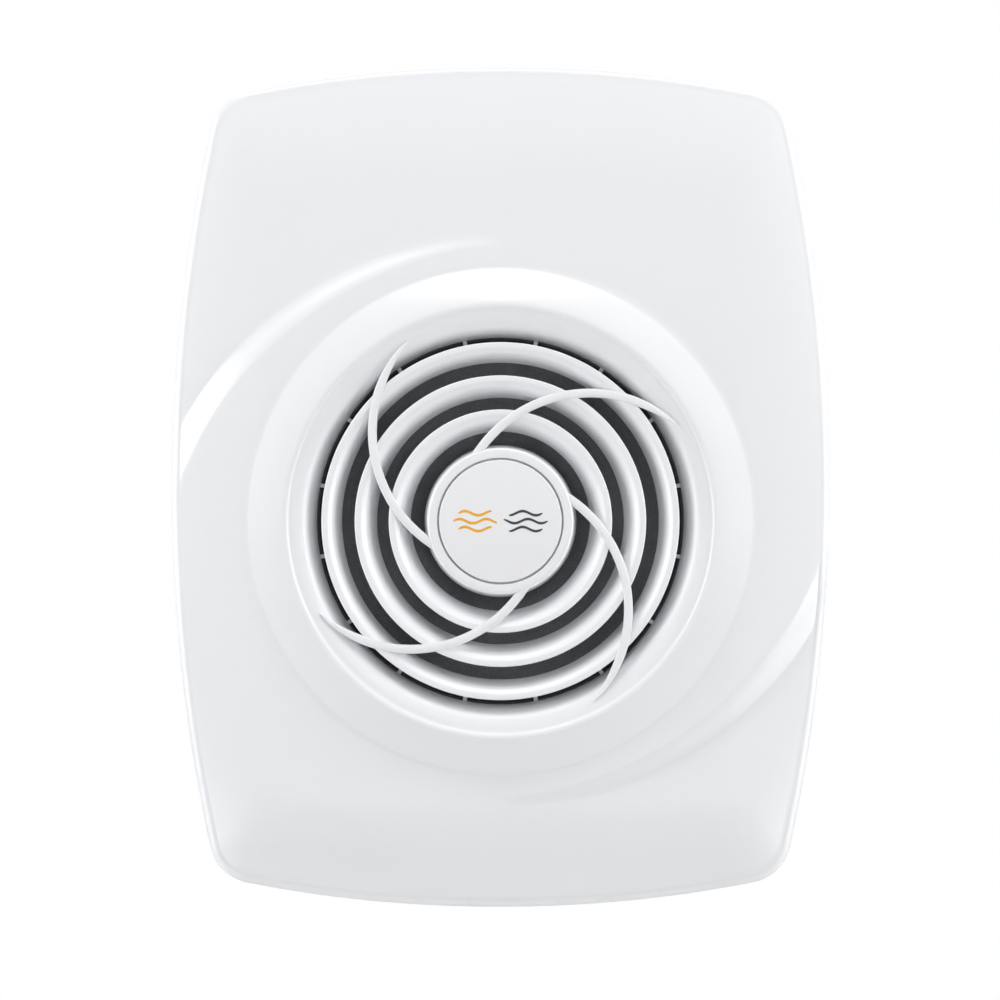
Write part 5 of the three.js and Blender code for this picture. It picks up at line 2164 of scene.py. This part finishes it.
# ---------------------------------------------------------------------------------------------
# Studio
# ---------------------------------------------------------------------------------------------
@dataclass(frozen=True)
class SoftLight:
    """Rectangular light, by default aimed at the cover's grille. Metres and watts."""

    name: str
    at: tuple[float, float, float]
    size: tuple[float, float]
    power: float
    target: tuple[float, float, float] = (0.0, -0.05, 0.0)

    def build(self) -> None:
        """Adds the light."""
        data = bpy.data.lights.new(self.name, "AREA")
        data.shape, data.energy = "RECTANGLE", self.power
        data.size, data.size_y = self.size
        light = linked(self.name, data)
        light.location = self.at
        aim = Vector(self.target) - Vector(self.at)
        light.rotation_euler = aim.to_track_quat("-Z", "Y").to_euler()


@dataclass
class Studio:
    """Camera straight in front of the cover, soft lights and a pale floor."""

    distance: float = 4.0
    view_width: float = 0.3804
    aim_x: float = -0.00015
    aim_z: float = 0.008
    floor_z: float = -0.7
    sensor: float = 36.0
    sky: float = 0.08
    lights: tuple[SoftLight, ...] = (
        SoftLight("overhead", (0.0, -0.5, 1.5), (1.8, 0.8), 16.5),
        SoftLight("left", (-1.4, -0.5, 0.1), (0.8, 1.4), 15.5),
        SoftLight("right", (1.4, -0.5, 0.1), (0.8, 1.4), 16.0),
        SoftLight("left_low", (-0.9, -1.2, -0.7), (0.9, 0.9), 1.5),
        SoftLight("right_high", (0.9, -1.2, 0.8), (0.9, 0.9), 1.5),
        SoftLight("front", (0.0, -2.6, 0.2), (1.8, 1.8), 4.0),
        SoftLight("behind", (0.0, 3.2, 2.6), (3.0, 3.0), 40.0, (0.0, 2.8, 0.0)),
    )

    def build(self) -> None:
        """Sets the whole studio up."""
        self.make_camera()
        self.make_floor()
        self.make_world()
        for light in self.lights:
            light.build()
        bpy.context.scene.view_settings.view_transform = "Standard"

    def make_camera(self) -> None:
        """Long lens at the height of the view's centre."""
        data = bpy.data.cameras.new("camera")
        data.sensor_width = self.sensor
        data.lens = self.sensor * self.distance / self.view_width
        data.clip_end = 100
        camera = linked("camera", data)
        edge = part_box("front_cover")[0].y + 0.02
        camera.location = (self.aim_x, edge - self.distance, self.aim_z)
        camera.rotation_euler = (math.radians(90), 0, 0)
        bpy.context.scene.camera = camera

    def make_floor(self) -> None:
        """Pale floor, too low for the front view."""
        mesh = bpy.data.meshes.new("floor")
        half, z = 6.0, self.floor_z
        corners = [(-half, -half, z), (half, -half, z), (half, half, z), (-half, half, z)]
        mesh.from_pydata(corners, [], [(0, 1, 2, 3)])
        mesh.materials.append(material(Finish.FLOOR))
        linked("floor", mesh)

    def make_world(self) -> None:
        """White surroundings for the camera and for reflections, and a softer sky for the light."""
        world = bpy.data.worlds.new("studio")
        bpy.context.scene.world = world
        world.use_nodes = True
        tree = world.node_tree
        tree.nodes.clear()
        seen, lit = tree.nodes.new("ShaderNodeBackground"), tree.nodes.new("ShaderNodeBackground")
        seen.inputs["Color"].default_value = (1, 1, 1, 1)
        seen.inputs["Strength"].default_value = 1.0
        lit.inputs["Color"].default_value = (0.97, 0.985, 1.0, 1)
        lit.inputs["Strength"].default_value = self.sky
        rays, mix = tree.nodes.new("ShaderNodeLightPath"), tree.nodes.new("ShaderNodeMixShader")
        out = tree.nodes.new("ShaderNodeOutputWorld")
        either = tree.nodes.new("ShaderNodeMath")
        either.operation = "MAXIMUM"
        tree.links.new(rays.outputs["Is Camera Ray"], either.inputs[0])
        tree.links.new(rays.outputs["Is Glossy Ray"], either.inputs[1])
        tree.links.new(either.outputs[0], mix.inputs[0])
        tree.links.new(lit.outputs[0], mix.inputs[1])
        tree.links.new(seen.outputs[0], mix.inputs[2])
        tree.links.new(mix.outputs[0], out.inputs["Surface"])


def main() -> None:
    """Builds every sub-assembly in order."""
    logging.basicConfig(level=logging.INFO, format="%(name)s: %(message)s")
    repeats = Repeats()
    RoomCover().build(repeats)
    plate = WallPlate()
    plate.build()
    FanSection(plate.pillars()).build(repeats)
    ControlBox().build(repeats)
    WallDuct().build(repeats)
    OutdoorCowl().build(repeats)
    Studio().build()


if __name__ == "__main__":
    main()
